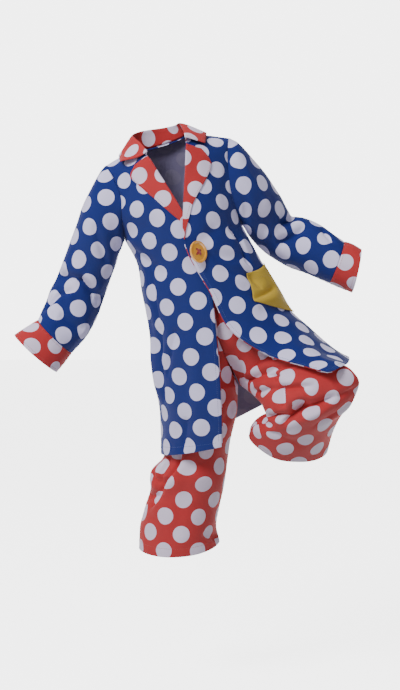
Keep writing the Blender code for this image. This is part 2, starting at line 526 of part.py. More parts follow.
def make_button(collection, front):
    """Four-hole button: a turned profile with a rim and a dished face, and four drilled holes."""
    share, height = np.array([BUTTON_AT[0]]), np.array([float(BUTTON_AT[1])])
    seat = front(share, height, 0.0)[0]
    normal = Vector(front(share, height, 1.0)[0] - seat).normalized()
    sideways = Vector((0, 0, 1)).cross(normal).normalized()
    tip = math.radians(BUTTON_TIP)
    lift = BUTTON_REST + (BUTTON_RADIUS - BUTTON_UNDER_EDGE) * math.sin(tip)
    base = Vector(seat) + normal * lift
    axis = normal * math.cos(tip) + sideways * math.sin(tip)
    rim, dish = BUTTON_RADIUS - BUTTON_RIM, BUTTON_THICK - BUTTON_DISH
    profile = ((0, 0), (BUTTON_RADIUS - BUTTON_UNDER_EDGE, 0), (BUTTON_RADIUS, BUTTON_UNDER_EDGE),
               (BUTTON_RADIUS, BUTTON_THICK - BUTTON_TOP_EDGE),
               (BUTTON_RADIUS - BUTTON_TOP_EDGE, BUTTON_THICK), (rim, BUTTON_THICK),
               (rim - BUTTON_DISH_RUN, dish), (0, dish))
    body = bmesh.new()
    loop = [body.verts.new((x * MM, 0, z * MM)) for x, z in profile]
    for first, second in zip(loop, loop[1:]):
        body.edges.new((first, second))
    bmesh.ops.spin(body, geom=body.verts[:] + body.edges[:], axis=(0, 0, 1), cent=(0, 0, 0),
                   steps=BUTTON_SIDES, angle=2 * math.pi)
    bmesh.ops.remove_doubles(body, verts=body.verts[:], dist=1e-5)
    bmesh.ops.recalc_face_normals(body, faces=body.faces[:])
    mesh = bpy.data.meshes.new("button")
    body.to_mesh(mesh)
    body.free()
    button = new_object(collection, "button", mesh, AMBER, BUTTON_ROUGHNESS)
    drills = bpy.data.collections.new("drills")
    bpy.context.scene.collection.children.link(drills)
    for quarter in range(4):
        turn = math.radians(45 + 90 * quarter)
        drill_mesh = bpy.data.meshes.new("drill")
        shape = bmesh.new()
        bmesh.ops.create_cone(shape, cap_ends=True, segments=HOLE_SIDES, radius1=BUTTON_HOLE_RADIUS * MM,
                              radius2=BUTTON_HOLE_RADIUS * MM, depth=4 * BUTTON_THICK * MM)
        bmesh.ops.translate(shape, verts=shape.verts[:], vec=(
            BUTTON_HOLE_PITCH * MM * math.cos(turn), BUTTON_HOLE_PITCH * MM * math.sin(turn), 0))
        shape.to_mesh(drill_mesh)
        shape.free()
        drill = bpy.data.objects.new(f"drill_{quarter}", drill_mesh)
        drill.display_type = "WIRE"
        drill.hide_render = True
        drill.parent = button
        drills.objects.link(drill)
        cut = button.modifiers.new(f"hole_{quarter}", "BOOLEAN")
        cut.operation = "DIFFERENCE"
        cut.object = drill
    button.location = base * MM
    button.rotation_euler = axis.to_track_quat("Z", "Y").to_euler()


def make_trousers(collection):
    """Four leg panels and the waistband above them."""
    for hand, leg, shape, folds, outward in (
            ("right", LEG_RIGHT, SHAPE_RIGHT, FOLDS_LEG_RIGHT, -1),
            ("left", LEG_LEFT, SHAPE_LEFT, FOLDS_LEG_LEFT, 1)):
        share, along = mesh_grid(trimmed(LEG_COLUMNS, LEG_WIDTH, LEG_SEAM),
                                 np.linspace(SEAM, leg[-1][1], LEG_ROWS + 1))
        front = raised(leg_surface(leg, shape, False), folds, LEG_WIDTH, outward)
        cloth(collection, f"trousers_front_{hand}", front(share, along), RED, flip=outward < 0)
        back = raised(leg_surface(leg, shape, True), FOLDS_LEG_BACK, LEG_WIDTH, -outward)
        cloth(collection, f"trousers_back_{hand}", back(share, along), RED, flip=outward > 0)
    make_waistband(collection)


def make_waistband(collection):
    """Waistband: the trousers' waist carried up."""
    share = np.linspace(0, 1, WAISTBAND_COLUMNS, endpoint=False)
    along = np.zeros(WAISTBAND_COLUMNS)
    quarters = ((LEG_RIGHT, SHAPE_RIGHT, False, share), (LEG_LEFT, SHAPE_LEFT, False, 1 - share),
                (LEG_LEFT, SHAPE_LEFT, True, share), (LEG_RIGHT, SHAPE_RIGHT, True, 1 - share))
    waist = np.concatenate([leg_surface(leg, shape, back)(places, along)
                            for leg, shape, back, places in quarters])
    rise = np.array(WAISTBAND, float)
    start = rise * (SEAM / rise[2])
    grid = np.stack([waist + start + (rise - start) * t for t in np.linspace(0, 1, WAISTBAND_ROWS + 1)])
    cloth(collection, "waistband", grid, RED, closed=True)


def main():
    """Clear the scene and make the costume."""
    for obj in list(bpy.data.objects):
        bpy.data.objects.remove(obj)
    collection = bpy.data.collections.new(COLLECTION)
    bpy.context.scene.collection.children.link(collection)
    fronts = make_fronts(collection)
    make_back(collection)
    make_sleeves(collection)
    make_collar(collection)
    make_lapels_and_facings(collection, fronts)
    make_pocket(collection, fronts["left"])
    make_button(collection, fronts["left"])
    make_trousers(collection)


main()
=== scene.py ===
"""Looks of a child's clown costume: a long spotted coat and wide three-quarter trousers.

The costume keeps the hollow form and the pose of its wearer, who isn't there. Each cloth piece is a
thin shell on the form of its solid, worked out here from the same seam lines, on a finer grid and
with the smaller creases. Shapes are in millimetres until they go into a mesh. The origin is the
middle of the neck opening, +Z is up and -Y is the front.
"""
from __future__ import annotations

import logging
import math
from dataclasses import dataclass, field
from enum import Enum
from functools import cache
from typing import Callable

import bpy
import numpy as np
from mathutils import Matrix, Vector


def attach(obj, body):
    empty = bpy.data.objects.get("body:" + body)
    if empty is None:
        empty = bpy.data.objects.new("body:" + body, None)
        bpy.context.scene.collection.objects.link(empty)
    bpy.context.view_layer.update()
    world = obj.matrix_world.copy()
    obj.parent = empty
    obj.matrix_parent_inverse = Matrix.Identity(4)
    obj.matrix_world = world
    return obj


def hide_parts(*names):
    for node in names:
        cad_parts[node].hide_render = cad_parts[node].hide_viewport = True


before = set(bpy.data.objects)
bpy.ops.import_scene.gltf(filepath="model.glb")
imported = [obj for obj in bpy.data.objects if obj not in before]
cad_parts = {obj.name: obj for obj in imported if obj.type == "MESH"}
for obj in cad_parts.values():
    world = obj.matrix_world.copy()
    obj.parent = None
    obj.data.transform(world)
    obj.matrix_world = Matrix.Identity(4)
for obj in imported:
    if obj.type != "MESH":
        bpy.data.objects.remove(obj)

LOG = logging.getLogger("clown_costume")
MM = 0.001
TAU = 2 * math.pi
Array = np.ndarray
Surface = Callable[..., Array]
Table = tuple[tuple, ...]
Socket = bpy.types.NodeSocket | float | tuple    # what a node's input takes

SEAM = 0.15             # each side of a seam stands back this far from the seam line
TURN_IN = ((-0.25, -2.6), (0.2, -1.2))   # a seam allowance: how far in from the edge, and how deep
WALL = 1.5              # the solids' wall, which a piece that lies on another clears
LYING = 0.9             # clearance between a panel and the piece that lies on it
CLOTH = 0.9             # thickness of one layer as it shows
TRIM = 1.3              # the same of the lapels and the cuffs
HEM = 18.0              # depth of the turned hems
HEM_SEWN = HEM - 1      # where they are stitched
THREAD_UP = 0.1         # how far a row of sewing lies over the cloth
ASKEW = (0.31, 0.42, 0.85)      # a direction that no thread runs in
GRID = 3.2              # spacing of the points of a cloth piece
CLOSE = (1.5, 3.0)      # the closer points beside a seam
APART = 0.9             # least distance of an even step from a closer point
SEWN_DROP = 0.9         # how far the cloth drops into a seam
RIPPLE = 0.35           # height of the ripples that a side seam's sewing draws up
FADE_ACROSS = 0.08      # share of a row over which folds die out beside a side seam
FADE_ALONG = 22         # the same beside a sewn end, in mm


# ---- Curves ----
def unit(vectors: Array) -> Array:
    """Vectors of length 1."""
    return vectors / np.maximum(np.linalg.norm(vectors, axis=-1, keepdims=True), 1e-9)


def run_of(points: Array, axis: int = 0) -> Array:
    """Distance run up to each point along an axis of a grid of points."""
    steps = np.linalg.norm(np.diff(points, axis=axis), axis=-1)
    return np.concatenate([np.zeros_like(steps.take([0], axis)), steps.cumsum(axis)], axis=axis)


def smooth(knots: Array, values: Array, at: Array, own: bool = False) -> Array:
    """Cubic through the values at the knots, with central differences as its slopes s.

    Args:
        knots: rising places of the values.
        values: one value or point v for each knot.
        at: places to read, of any shape.
        own: whether each place has values of its own, on the axes behind the knots'.

    Returns:
        (2t^3-3t^2+1) v0 + (t^3-2t^2+t) span s0 + (3t^2-2t^3) v1 + (t^3-t^2) span s1 at each place,
        where t goes from 0 to 1 over the span between two knots.
    """
    knots, values, at = (np.asarray(x, float) for x in (knots, values, at))
    slopes = np.gradient(values, knots, axis=0)
    cell = np.clip(np.searchsorted(knots, at, side="right") - 1, 0, len(knots) - 2)
    place = tuple(np.indices(at.shape)) if own else ()
    span = (knots[cell + 1] - knots[cell]).reshape(at.shape + (1,) * (values.ndim - 1 - len(place)))
    t = (at - knots[cell]).reshape(span.shape) / span
    low, high = (cell, *place), (cell + 1, *place)
    return ((2 * t ** 3 - 3 * t ** 2 + 1) * values[low]
            + (t ** 3 - 2 * t ** 2 + t) * span * slopes[low]
            + (3 * t ** 2 - 2 * t ** 3) * values[high] + (t ** 3 - t ** 2) * span * slopes[high])


def soft_step(value: Array, low: float, high: float) -> Array:
    """0 below low, 1 above high, and 3t^2-2t^3 between them."""
    t = np.clip((np.asarray(value, float) - low) / (high - low), 0, 1)
    return t * t * (3 - 2 * t)


def arc(start: Array, end: Array, reach: Array, turn_from: Array, turn_to: Array,
        share: Array) -> Array:
    """Elliptical arc from start to end: centre + along cos(turn) + reach sin(turn).

    Args:
        start, end: the arc's two ends, from which its centre and its half axis along follow.
        reach: half axis across the line between the ends.
        turn_from, turn_to: the turn at the start and at the end, in radians.
        share: place along the arc, from 0 to 1.

    Returns:
        Points of the arc.
    """
    turn = (turn_from + (turn_to - turn_from) * share)[..., None]
    turn_from, turn_to = turn_from[..., None], turn_to[..., None]
    along = (start - end - reach * (np.sin(turn_from) - np.sin(turn_to))) / (
        np.cos(turn_from) - np.cos(turn_to))
    centre = start - along * np.cos(turn_from) - reach * np.sin(turn_from)
    return centre + along * np.cos(turn) + reach * np.sin(turn)


def stations(length: float, step: float = GRID, start: float = SEAM, end: float = SEAM,
             extra: tuple[float, ...] = ()) -> Array:
    """Distances along a piece: even steps, and closer ones beside both ends and extra places.

    Args:
        length: of the piece.
        step: the even step.
        start, end: how far back from each end they stop.
        extra: places that get closer steps.

    Returns:
        The distances, rising.
    """
    inner = np.linspace(0, length, max(int(round(length / step)), 2) + 1)[1:-1]
    near = np.array(CLOSE)
    marks = np.concatenate([near, length - near, [x + d for x in extra for d in (-1.2, 0.0, 1.2)]])
    clear = np.abs(inner[:, None] - marks[None, :]).min(axis=1) > APART
    return np.unique(np.concatenate([[start, length - end], marks, inner[clear]]))


def turned_in(places: Array, start: bool, end: bool) -> tuple[Array, Array]:
    """Distances along a piece with a seam allowance at each sewn end.

    Args:
        places: rising distances.
        start, end: whether that end is sewn.

    Returns:
        The distances with those of the allowances, and how far out each of them lies.
    """
    inset, depth = np.array(TURN_IN).T
    before, after = 2 * start, 2 * end
    last = (places[-1] - inset[:after])[::-1]
    return (np.concatenate([places[0] + inset[:before], places, last]),
            np.concatenate([depth[:before], np.zeros(len(places)), depth[:after][::-1]]))


def sewn_grid(across: Array, along: Array, sides: tuple[bool, bool], ends: tuple[bool, bool],
              width: float = 1.0) -> tuple[Array, Array, Array]:
    """The grid of a piece with its seam allowances.

    Args:
        across, along: distances of its columns and of its rows.
        sides, ends: whether the first and the last column and row are sewn.
        width: size of a whole row, which turns distances across into shares.

    Returns:
        Share, distance along and height out at each point, one row for each distance.
    """
    (across, out_across), (along, out_along) = turned_in(across, *sides), turned_in(along, *ends)
    distance, share = np.meshgrid(along, across / width, indexing="ij")
    return share, distance, np.minimum(out_across[None, :], out_along[:, None])


# ---- Folds ----
def folds_at(folds: Table, share: Array, along: Array, width: float) -> tuple[Array, Array]:
    """Folds and creases: depth exp(-(away/half width)^2) (1-(2t-1)^4) along each short line.

    A fold that takes cloth in hides it in its trough, so the print jumps across it: over a quarter
    of the half width the flat cut moves on by that much, and both sides ease back over 3 half
    widths. A fold with a lip has one side standing over the other, as a tuck does.

    Args:
        folds: start share, start distance, end share, end distance, half width, depth (- is a
            trough), then, where there is more to it, how much cloth the fold takes in and how far
            the side on the right of its run stands over the other (- is the left side over it).
        share, along: places on the piece.
        width: size of a whole row, which turns shares into millimetres.

    Returns:
        Millimetres outwards at each place, and how far it lies from its own on the flat cut.
    """
    shape = np.broadcast(share, along).shape
    height, moved = np.zeros(shape), np.zeros(shape + (2,))
    for share_0, along_0, share_1, along_1, half_width, depth, *more in folds:
        run = np.array([(share_1 - share_0) * width, along_1 - along_0], float)
        place = np.stack(np.broadcast_arrays((share - share_0) * width, along - along_0), axis=-1)
        t = np.clip(place @ run / (run @ run), 0, 1)
        away = np.linalg.norm(place - t[..., None] * run, axis=-1)
        strength = 1 - (2 * t - 1) ** 4
        height += depth * np.exp(-(away / half_width) ** 2) * strength
        if more:
            taken_in, lip = (*more, 0.0)[:2]
            across = unit(np.array([run[1], -run[0]]))
            beside = np.tanh(place @ across / (half_width / 4)) * strength / 2
            beside = beside * np.exp(-(away / (3 * half_width)) ** 2)
            moved += (taken_in * beside)[..., None] * across
            height += lip * beside
    return height, moved


def rumple(share: Array, along: Array, width: float, depth: float, seed: int,
           waves: int = 14) -> Array:
    """Soft unevenness of worn cloth: a sum of sine waves of 35 to 120 mm in random directions.

    Args:
        share, along: places on the piece.
        width: size of a whole row.
        depth: how uneven it is.
        seed: of the random draws.
        waves: how many are summed.

    Returns:
        Millimetres outwards at each place.
    """
    random, shortest, longest = np.random.default_rng(seed), 35, 120
    total = np.zeros(np.broadcast(share, along).shape)
    for _ in range(waves):
        turn, length, phase = (random.uniform(*ends) for ends in (
            (0, math.pi), (shortest, longest), (0, 6.28)))
        run = share * width * math.cos(turn) + along * math.sin(turn)
        total += np.sin(TAU * run / length + phase) * length / longest
    return total * depth / math.sqrt(waves)


def pucker(away: Array, run: Array, depth: float, pitch: float = 13.0) -> Array:
    """Small ripples that a line of sewing draws up: depth sin(2 pi run/pitch) exp(-(away/9)^2)."""
    beat = np.sin(TAU * run / pitch) * (0.7 + 0.3 * np.sin(run / 31.0))
    return depth * beat * np.exp(-(away / 9.0) ** 2)


def sewn_edge(away: Array, run: Array, drop: float, ripple: float) -> Array:
    """The cloth's turn into a seam: the ripples of its sewing - drop exp(-(away/2.2)^2)."""
    return pucker(away, run, ripple) - drop * np.exp(-(np.asarray(away) / 2.2) ** 2)


def turned_hem(away: Array, run: Array) -> Array:
    """A hem: the second layer's thickness, less exp(-(away/1.4)^2) at its row of stitches."""
    layer = 0.5 * (1 - soft_step(away, HEM - 0.5, HEM + 2.0))
    drawn_in = 0.55 * np.exp(-((away - HEM_SEWN) / 1.4) ** 2)
    return layer - drawn_in + pucker(away - HEM, run, depth=0.3, pitch=17.0)


@dataclass(frozen=True)
class Drape:
    """A piece's surface: its plain form with folds, unevenness and sewn edges along its normal."""
    plain: Surface                  # the plain form, a function of share and distance along
    outward: int                    # 1 where share x along points outwards, otherwise -1
    width: float                    # size of a whole row in millimetres
    length: float                   # distance along to the far end
    folds: Table
    seed: int
    rumple_depth: float
    seam_start: float | None = None     # how far the cloth drops into a seam at distance 0
    seam_end: float | None = None       # the same at the far end
    hem_start: bool = False         # a hem at distance 0
    hem_end: bool = False           # a hem at the far end
    valley: tuple = ()              # distances where the side seams run into and out of a valley

    def height(self, share: Array, along: Array) -> Array:
        """Height of all the relief: sewing + fade (folds + unevenness), with fade 0 at the seams.

        Args:
            share, along: places on the piece.

        Returns:
            Millimetres outwards at each place.
        """
        side, across, left = np.minimum(share, 1 - share), share * self.width, self.length - along
        fade = soft_step(side, 0, FADE_ACROSS)
        sewing = sewn_edge(side * self.width, along, SEWN_DROP, RIPPLE)
        if self.valley:
            start, bottom, rise, end = self.valley
            inside = soft_step(along, start, bottom) * (1 - soft_step(along, rise, end))
            sewing = sewing * (1 - inside)
        for drop, away in ((self.seam_start, along), (self.seam_end, left)):
            if drop is not None:
                fade = fade * soft_step(away, 0, FADE_ALONG)
                sewing = sewing + sewn_edge(away, across, drop, drop / 2)
        for hemmed, away in ((self.hem_start, along), (self.hem_end, left)):
            if hemmed:
                sewing = sewing + turned_hem(away, across)
        return sewing + fade * (folds_at(self.folds, share, along, self.width)[0]
                                + rumple(share, along, self.width, self.rumple_depth, self.seed))

    @staticmethod
    def normals(surface: Surface, share: Array, along: Array, outward: int) -> Array:
        """Unit normals of a surface function, by small steps each way."""
        step_share, step_along = 0.002, 0.5
        across = surface(share + step_share, along) - surface(share - step_share, along)
        run = surface(share, along + step_along) - surface(share, along - step_along)
        return unit(np.cross(across, run) * outward)

    def __call__(self, share: Array, along: Array, out: Array | float = 0.0) -> Array:
        """Points of the draped surface: plain form + normal (height + out)."""
        normal = self.normals(self.plain, share, along, self.outward)
        return self.plain(share, along) + normal * (self.height(share, along) + out)[..., None]

    def path(self, share: Array, along: Array, out: float = THREAD_UP) -> tuple[Array, Array]:
        """Points and normals of a row of sewing on the surface."""
        share, along = (np.asarray(x, float) for x in np.broadcast_arrays(share, along))
        return self(share, along, out), self.normals(self, share, along, self.outward)

    def moved(self, share: Array, along: Array, _: Array) -> Array:
        """How far the folds move each place of the print on the flat cut, whatever its height."""
        return folds_at(self.folds, share, along, self.width)[1]


# ---- Finishes ----
def linear(colour: str) -> tuple[float, float, float, float]:
    """Linear colour of an sRGB hex value."""
    channels = [int(colour[i:i + 2], 16) / 255 for i in (0, 2, 4)]
    return (*(c / 12.92 if c <= 0.04045 else ((c + 0.055) / 1.055) ** 2.4 for c in channels), 1.0)


class Shader:
    """A new material's Principled shader, with short calls for the nodes that the finishes use."""

    def __init__(self, name: str, settings: dict) -> None:
        """Make the material.

        Args:
            name: of the material.
            settings: the inputs of its shader that no node feeds.
        """
        self.material = bpy.data.materials.new(name)
        self.material.use_nodes = True
        self.tree = self.material.node_tree
        self.principled = self.tree.nodes["Principled BSDF"]
        self.give(self.principled, settings)
        places = self.add("TexCoord")
        self.cut, self.own = places["UV"], places["Object"]

    def give(self, node: bpy.types.Node, inputs: dict) -> None:
        """Set a node's inputs.

        Args:
            node: whose inputs they are.
            inputs: a value or another node's output for each.
        """
        for name, value in inputs.items():
            if isinstance(value, bpy.types.NodeSocket):
                self.tree.links.new(value, node.inputs[name])
            else:
                node.inputs[name].default_value = value

    def add(self, kind: str, inputs: dict | None = None,
            **settings: str) -> bpy.types.NodeOutputs:
        """Add a node.

        Args:
            kind: of node.
            inputs: as for give.
            settings: the node's properties.

        Returns:
            Its outputs.
        """
        node = self.tree.nodes.new("ShaderNode" + kind)
        for key, value in settings.items():
            setattr(node, key, value)
        self.give(node, inputs or {})
        return node.outputs

    def math(self, operation: str, *values: Socket, vector: bool = False) -> bpy.types.NodeOutputs:
        """Arithmetic on numbers or on vectors."""
        kind = "VectorMath" if vector else "Math"
        return self.add(kind, dict(enumerate(values)), operation=operation)

    def noise(self, place: Socket, size: float, detail: float, **more: float) -> Socket:
        """Noise about as coarse as a size in metres."""
        inputs = {"Vector": place, "Scale": 1 / size, "Detail": detail, **more}
        return self.add("TexNoise", inputs)["Fac"]

    def mix(self, share: Socket, one: Socket, two: Socket) -> Socket:
        """Mix of two colours."""
        return self.add("Mix", {0: share, 6: one, 7: two}, data_type="RGBA")[2]

    def bump(self, height: Socket, strength: float, distance: float, **more: Socket) -> Socket:
        """Normal of a relief."""
        inputs = {"Height": height, "Strength": strength, "Distance": distance, **more}
        return self.add("Bump", inputs)[0]

    def done(self, colour: Socket, normal: Socket) -> bpy.types.Material:
        """The material, once its colour and its relief are linked."""
        self.give(self.principled, {"Base Color": colour, "Normal": normal})
        return self.material


@dataclass(frozen=True)
class WovenCloth:
    """Thin plain-weave polyester and cotton, dyed and printed: matt, with a slight sheen.

    The spots are a quincunx: two square lattices of the same pitch, one in the middle of the other.
    The pattern reads the piece's own UV map, which is its flat cut in metres.
    """
    name: str
    ground: str                     # the dye, sRGB
    ground_shade: str               # the same where the cloth is thicker or rubbed
    spot: str = "E4DEFD"            # the print, a cool white
    spot_shade: str = "DBD4F6"
    spotted: bool = True
    spot_radius_mm: float = 18.0
    pitch_mm: float = 72.6
    strength: float = 1.0           # of the print, which only shows through on a wrong side
    roughness: float = 0.82
    weave_mm: float = 1.3           # pitch at which the threads are drawn

    def make(self) -> bpy.types.Material:
        """Build the material: dye that is uneven over 60 mm, its print, the weave and fine creases.

        The real threads are about 0.35 mm apart; the weave is drawn coarser, so that it shows.

        Returns:
            The finished material.
        """
        made = Shader(self.name, {"Roughness": self.roughness, "Specular IOR Level": 0.15,
                                  "Sheen Weight": 0.04, "Sheen Roughness": 0.45})
        uneven = made.noise(made.own, 0.06, 3)
        colour = made.mix(uneven, linear(self.ground), linear(self.ground_shade))
        if self.spotted:
            ink = made.noise(made.own, 0.03, 4)
            colour = made.mix(self.spots(made), colour,
                              made.mix(ink, linear(self.spot), linear(self.spot_shade)))
        across = (TAU / (self.weave_mm * MM),) * 3
        place = made.add("Mapping", {"Vector": made.cut, "Scale": across})[0]
        threads = made.add("SeparateXYZ", {0: place})
        weave = made.math("MULTIPLY", *(made.math("SINE", threads[axis])[0] for axis in "XY"))[0]
        crease = made.noise(made.own, 0.022, 3, Roughness=0.55, Distortion=0.6)
        relief = made.bump(weave, 0.25, 0.00012)
        return made.done(colour, made.bump(crease, 0.5, 0.0016, Normal=relief))

    def spots(self, made: Shader) -> Socket:
        """The print's strength: full where the nearest lattice point is within a spot's radius.

        Args:
            made: the shader that gets its nodes.

        Returns:
            The output that carries it.
        """
        away = []
        for shift in (0.0, 0.5):
            place = made.add("Mapping", {"Vector": made.cut, "Location": (shift, shift, 0),
                                         "Scale": (1 / (self.pitch_mm * MM),) * 3})[0]
            cell = made.math("FRACTION", place, vector=True)[0]
            middle = made.math("SUBTRACT", cell, (0.5, 0.5, 0.0), vector=True)[0]
            away.append(made.math("LENGTH", middle, vector=True)["Value"])
        bleed = made.math("MULTIPLY_ADD", made.noise(made.cut, 0.004, 2), 0.5 / self.pitch_mm,
                          made.math("MINIMUM", *away)[0])[0]
        radius, soft = self.spot_radius_mm / self.pitch_mm, 0.35 / self.pitch_mm
        inputs = {"Value": bleed, "From Min": radius - soft, "From Max": radius + soft,
                  "To Min": self.strength, "To Max": 0.0}
        return made.add("MapRange", inputs, interpolation_type="SMOOTHSTEP")[0]


@dataclass(frozen=True)
class CastPolyester:
    """Cast polyester resin, turned and polished: a glossy, slightly cloudy button."""
    name: str
    colour: str
    cloud: str

    def make(self) -> bpy.types.Material:
        """Build the material: two tones of resin, swirled over 12 mm, under a polished face."""
        made = Shader(self.name, {"Roughness": 0.28, "IOR": 1.54, "Coat Weight": 0.35,
                                  "Coat Roughness": 0.12})
        swirl = made.noise(made.own, 0.012, 3, Distortion=2.0)
        return made.done(made.mix(swirl, linear(self.colour), linear(self.cloud)),
                         made.bump(made.noise(made.own, 0.003, 2), 0.08, 0.0002))


@dataclass(frozen=True)
class SpunThread:
    """Spun polyester sewing thread: matt, twisted from two plies."""
    name: str
    colour: str

    def make(self) -> bpy.types.Material:
        """Build the material: the dye with painted light and shade of the twist, 0.8 mm apart."""
        made = Shader(self.name, {"Roughness": 0.7, "Sheen Weight": 0.2})
        twist = made.noise(made.own, 0.0008, 1)
        # painted shade of the twist: the dye darkened to 0.6 where the twist noise is high
        dark = (*(0.6 * c for c in linear(self.colour)[:3]), 1.0)
        return made.done(made.mix(twist, linear(self.colour), dark), made.bump(twist, 0.4, 0.0002))


class Finish(Enum):
    """The finishes of the costume."""
    BLUE = WovenCloth("printed_plain_weave_blue", "16246A", "182870")
    BLUE_WRONG = WovenCloth("plain_weave_blue_wrong_side", "8C84A6", "938BAC", "B6ACBE", "B0A6B8",
                            strength=0.3, roughness=0.9)
    RED = WovenCloth("printed_plain_weave_red", "B42E31", "BA3435", "E8DAF0", "DFD0E8",
                     spot_radius_mm=17.8)
    RED_WRONG = WovenCloth("plain_weave_red_wrong_side", "9A3A34", "A2423A", "C9B2B6", "C2AAAE",
                           strength=0.3, roughness=0.9)
    YELLOW = WovenCloth("plain_weave_yellow", "C4A438", "BC9C34", spotted=False)
    YELLOW_WRONG = WovenCloth("plain_weave_yellow_wrong_side", "96801C", "8E781A", spotted=False,
                              roughness=0.9)
    RESIN = CastPolyester("cast_polyester_amber", "F6AA18", "EC9E12")
    BLUE_THREAD = SpunThread("spun_thread_blue", "1A3F8E")
    RED_THREAD = SpunThread("spun_thread_red", "B8352A")
    YELLOW_THREAD = SpunThread("spun_thread_yellow", "C39A2C")
    DARK_RED_THREAD = SpunThread("spun_thread_dark_red", "A81808")

    @cache
    def material(self) -> bpy.types.Material:
        """The finish's material, made once."""
        return self.value.make()


class Cloth(Enum):
    """The costume's cloths: material slot, right side, wrong side and the thread that sews them."""
    BLUE = "blue_cloth", Finish.BLUE, Finish.BLUE_WRONG, Finish.BLUE_THREAD
    RED = "red_cloth", Finish.RED, Finish.RED_WRONG, Finish.RED_THREAD
    RED_DOUBLED = "red_cloth", Finish.RED, Finish.RED, Finish.RED_THREAD    # right side out on both
    YELLOW = "yellow_cloth", Finish.YELLOW, Finish.YELLOW_WRONG, Finish.YELLOW_THREAD


# ---- Pieces ----
@dataclass(frozen=True)
class Laid:
    """How a pattern piece lay on the printed cloth: its shift in mm and its turn in degrees."""
    across: float = 0.0
    along: float = 0.0
    turn: float = 0.0


@dataclass
class FlatCut:
    """The flat pattern of a curved piece, found by letting a net of springs relax.

    The net starts with its rows at their own lengths, hung on the middle column, and is then pulled
    until its sides and diagonals have the lengths that they have on the surface.
    """
    grid: Array                     # rows x columns x 3, in mm
    rounds: int = 500
    coarse: int = 12                # about this many millimetres between the net's knots
    haste: float = 1.6              # over 1, the net settles sooner
    flat: Array = field(init=False)

    def __post_init__(self) -> None:
        """Relax a coarse net and read the fine grid from it."""
        runs = [run_of(self.grid, axis).mean(axis=1 - axis) for axis in (0, 1)]
        picks = [self.spread(run) for run in runs]
        flat = self.relaxed(self.grid[np.ix_(*picks)])
        for axis in (1, 0):
            finer = smooth(runs[axis][picks[axis]], np.swapaxes(flat, 0, axis), runs[axis])
            flat = np.swapaxes(finer, 0, axis)
        self.flat = flat

    def spread(self, run: Array) -> Array:
        """Indices of a few evenly spaced rows or columns, with the first and the last."""
        wanted = min(len(run), max(3, int(round(run[-1] / self.coarse)) + 1))
        even = np.linspace(0, run[-1], wanted)
        return np.unique(np.abs(run[:, None] - even[None, :]).argmin(axis=0))

    def relaxed(self, net: Array) -> Array:
        """Lay a net flat: each round moves both ends of a spring by half of what it is too long.

        Args:
            net: the knots on the surface, rows x columns x 3.

        Returns:
            The knots' flat places in mm, with the length upright.
        """
        rows, columns = net.shape[:2]
        middle = columns // 2
        across, down = run_of(net, 1), run_of(net[:, middle])
        flat = np.stack([across - across[:, middle:middle + 1],
                         np.repeat(down[:, None], columns, axis=1)], axis=-1)
        whole, low, high = slice(None), slice(0, -1), slice(1, None)
        ends = (((low, whole), (high, whole)), ((whole, low), (whole, high)),
                ((low, low), (high, high)), ((low, high), (high, low)))
        rests = [np.linalg.norm(net[b] - net[a], axis=-1) for a, b in ends]
        count = np.zeros((rows, columns))
        for pair in ends:
            for end in pair:
                count[end] += 1
        for _ in range(self.rounds):
            move = np.zeros_like(flat)
            for (a, b), rest in zip(ends, rests):
                pull = flat[b] - flat[a]
                long = np.maximum(np.linalg.norm(pull, axis=-1), 1e-6)
                pull = pull * (0.5 * (long - rest) / long)[..., None]
                move[a] += pull
                move[b] -= pull
            flat = flat + move / count[..., None] * self.haste
        up = unit(flat[-1].mean(axis=0) - flat[0].mean(axis=0))
        flat = flat - flat.mean(axis=(0, 1))
        return np.stack([flat @ np.array([up[1], -up[0]]), flat @ up], axis=-1)

    def size(self) -> tuple[float, float, float]:
        """Width and length of the cut's box in metres, and its area in square metres."""
        width, length = np.ptp(self.flat, axis=(0, 1)) * MM
        one = self.flat[1:, 1:] - self.flat[:-1, :-1]
        two = self.flat[1:, :-1] - self.flat[:-1, 1:]
        area = np.abs(one[..., 0] * two[..., 1] - one[..., 1] * two[..., 0]).sum() / 2 * MM * MM
        return width, length, min(area, width * length)

    def on_cloth(self, laid: Laid, moved: Array | float) -> Array:
        """The cut's points on the printed cloth, in metres, with what the folds have moved."""
        cos, sin = math.cos(math.radians(laid.turn)), math.sin(math.radians(laid.turn))
        turned = (self.flat + moved) @ np.array([[cos, sin], [-sin, cos]])
        return (turned + np.array([laid.across, laid.along])) * MM


def faces_of(index: Array, flip: bool = False) -> Array:
    """Faces of a grid of point numbers, as faces x 4."""
    corners = index[:-1, :-1], index[:-1, 1:], index[1:, 1:], index[1:, :-1]
    faces = np.stack(corners, axis=-1).reshape(-1, 4)
    return faces[:, ::-1] if flip else faces


def ring_numbers(rows: int, sides: int) -> Array:
    """Point numbers of a tube, with the first column again after the last one."""
    index = np.arange(rows * sides).reshape(rows, sides)
    return np.concatenate([index, index[:, :1]], axis=1)


def mesh_of(name: str, points: Array, faces: list) -> bpy.types.Mesh:
    """Mesh from points in millimetres and faces."""
    mesh = bpy.data.meshes.new(name)
    mesh.from_pydata((points.reshape(-1, 3) * MM).tolist(), [], faces)
    return mesh


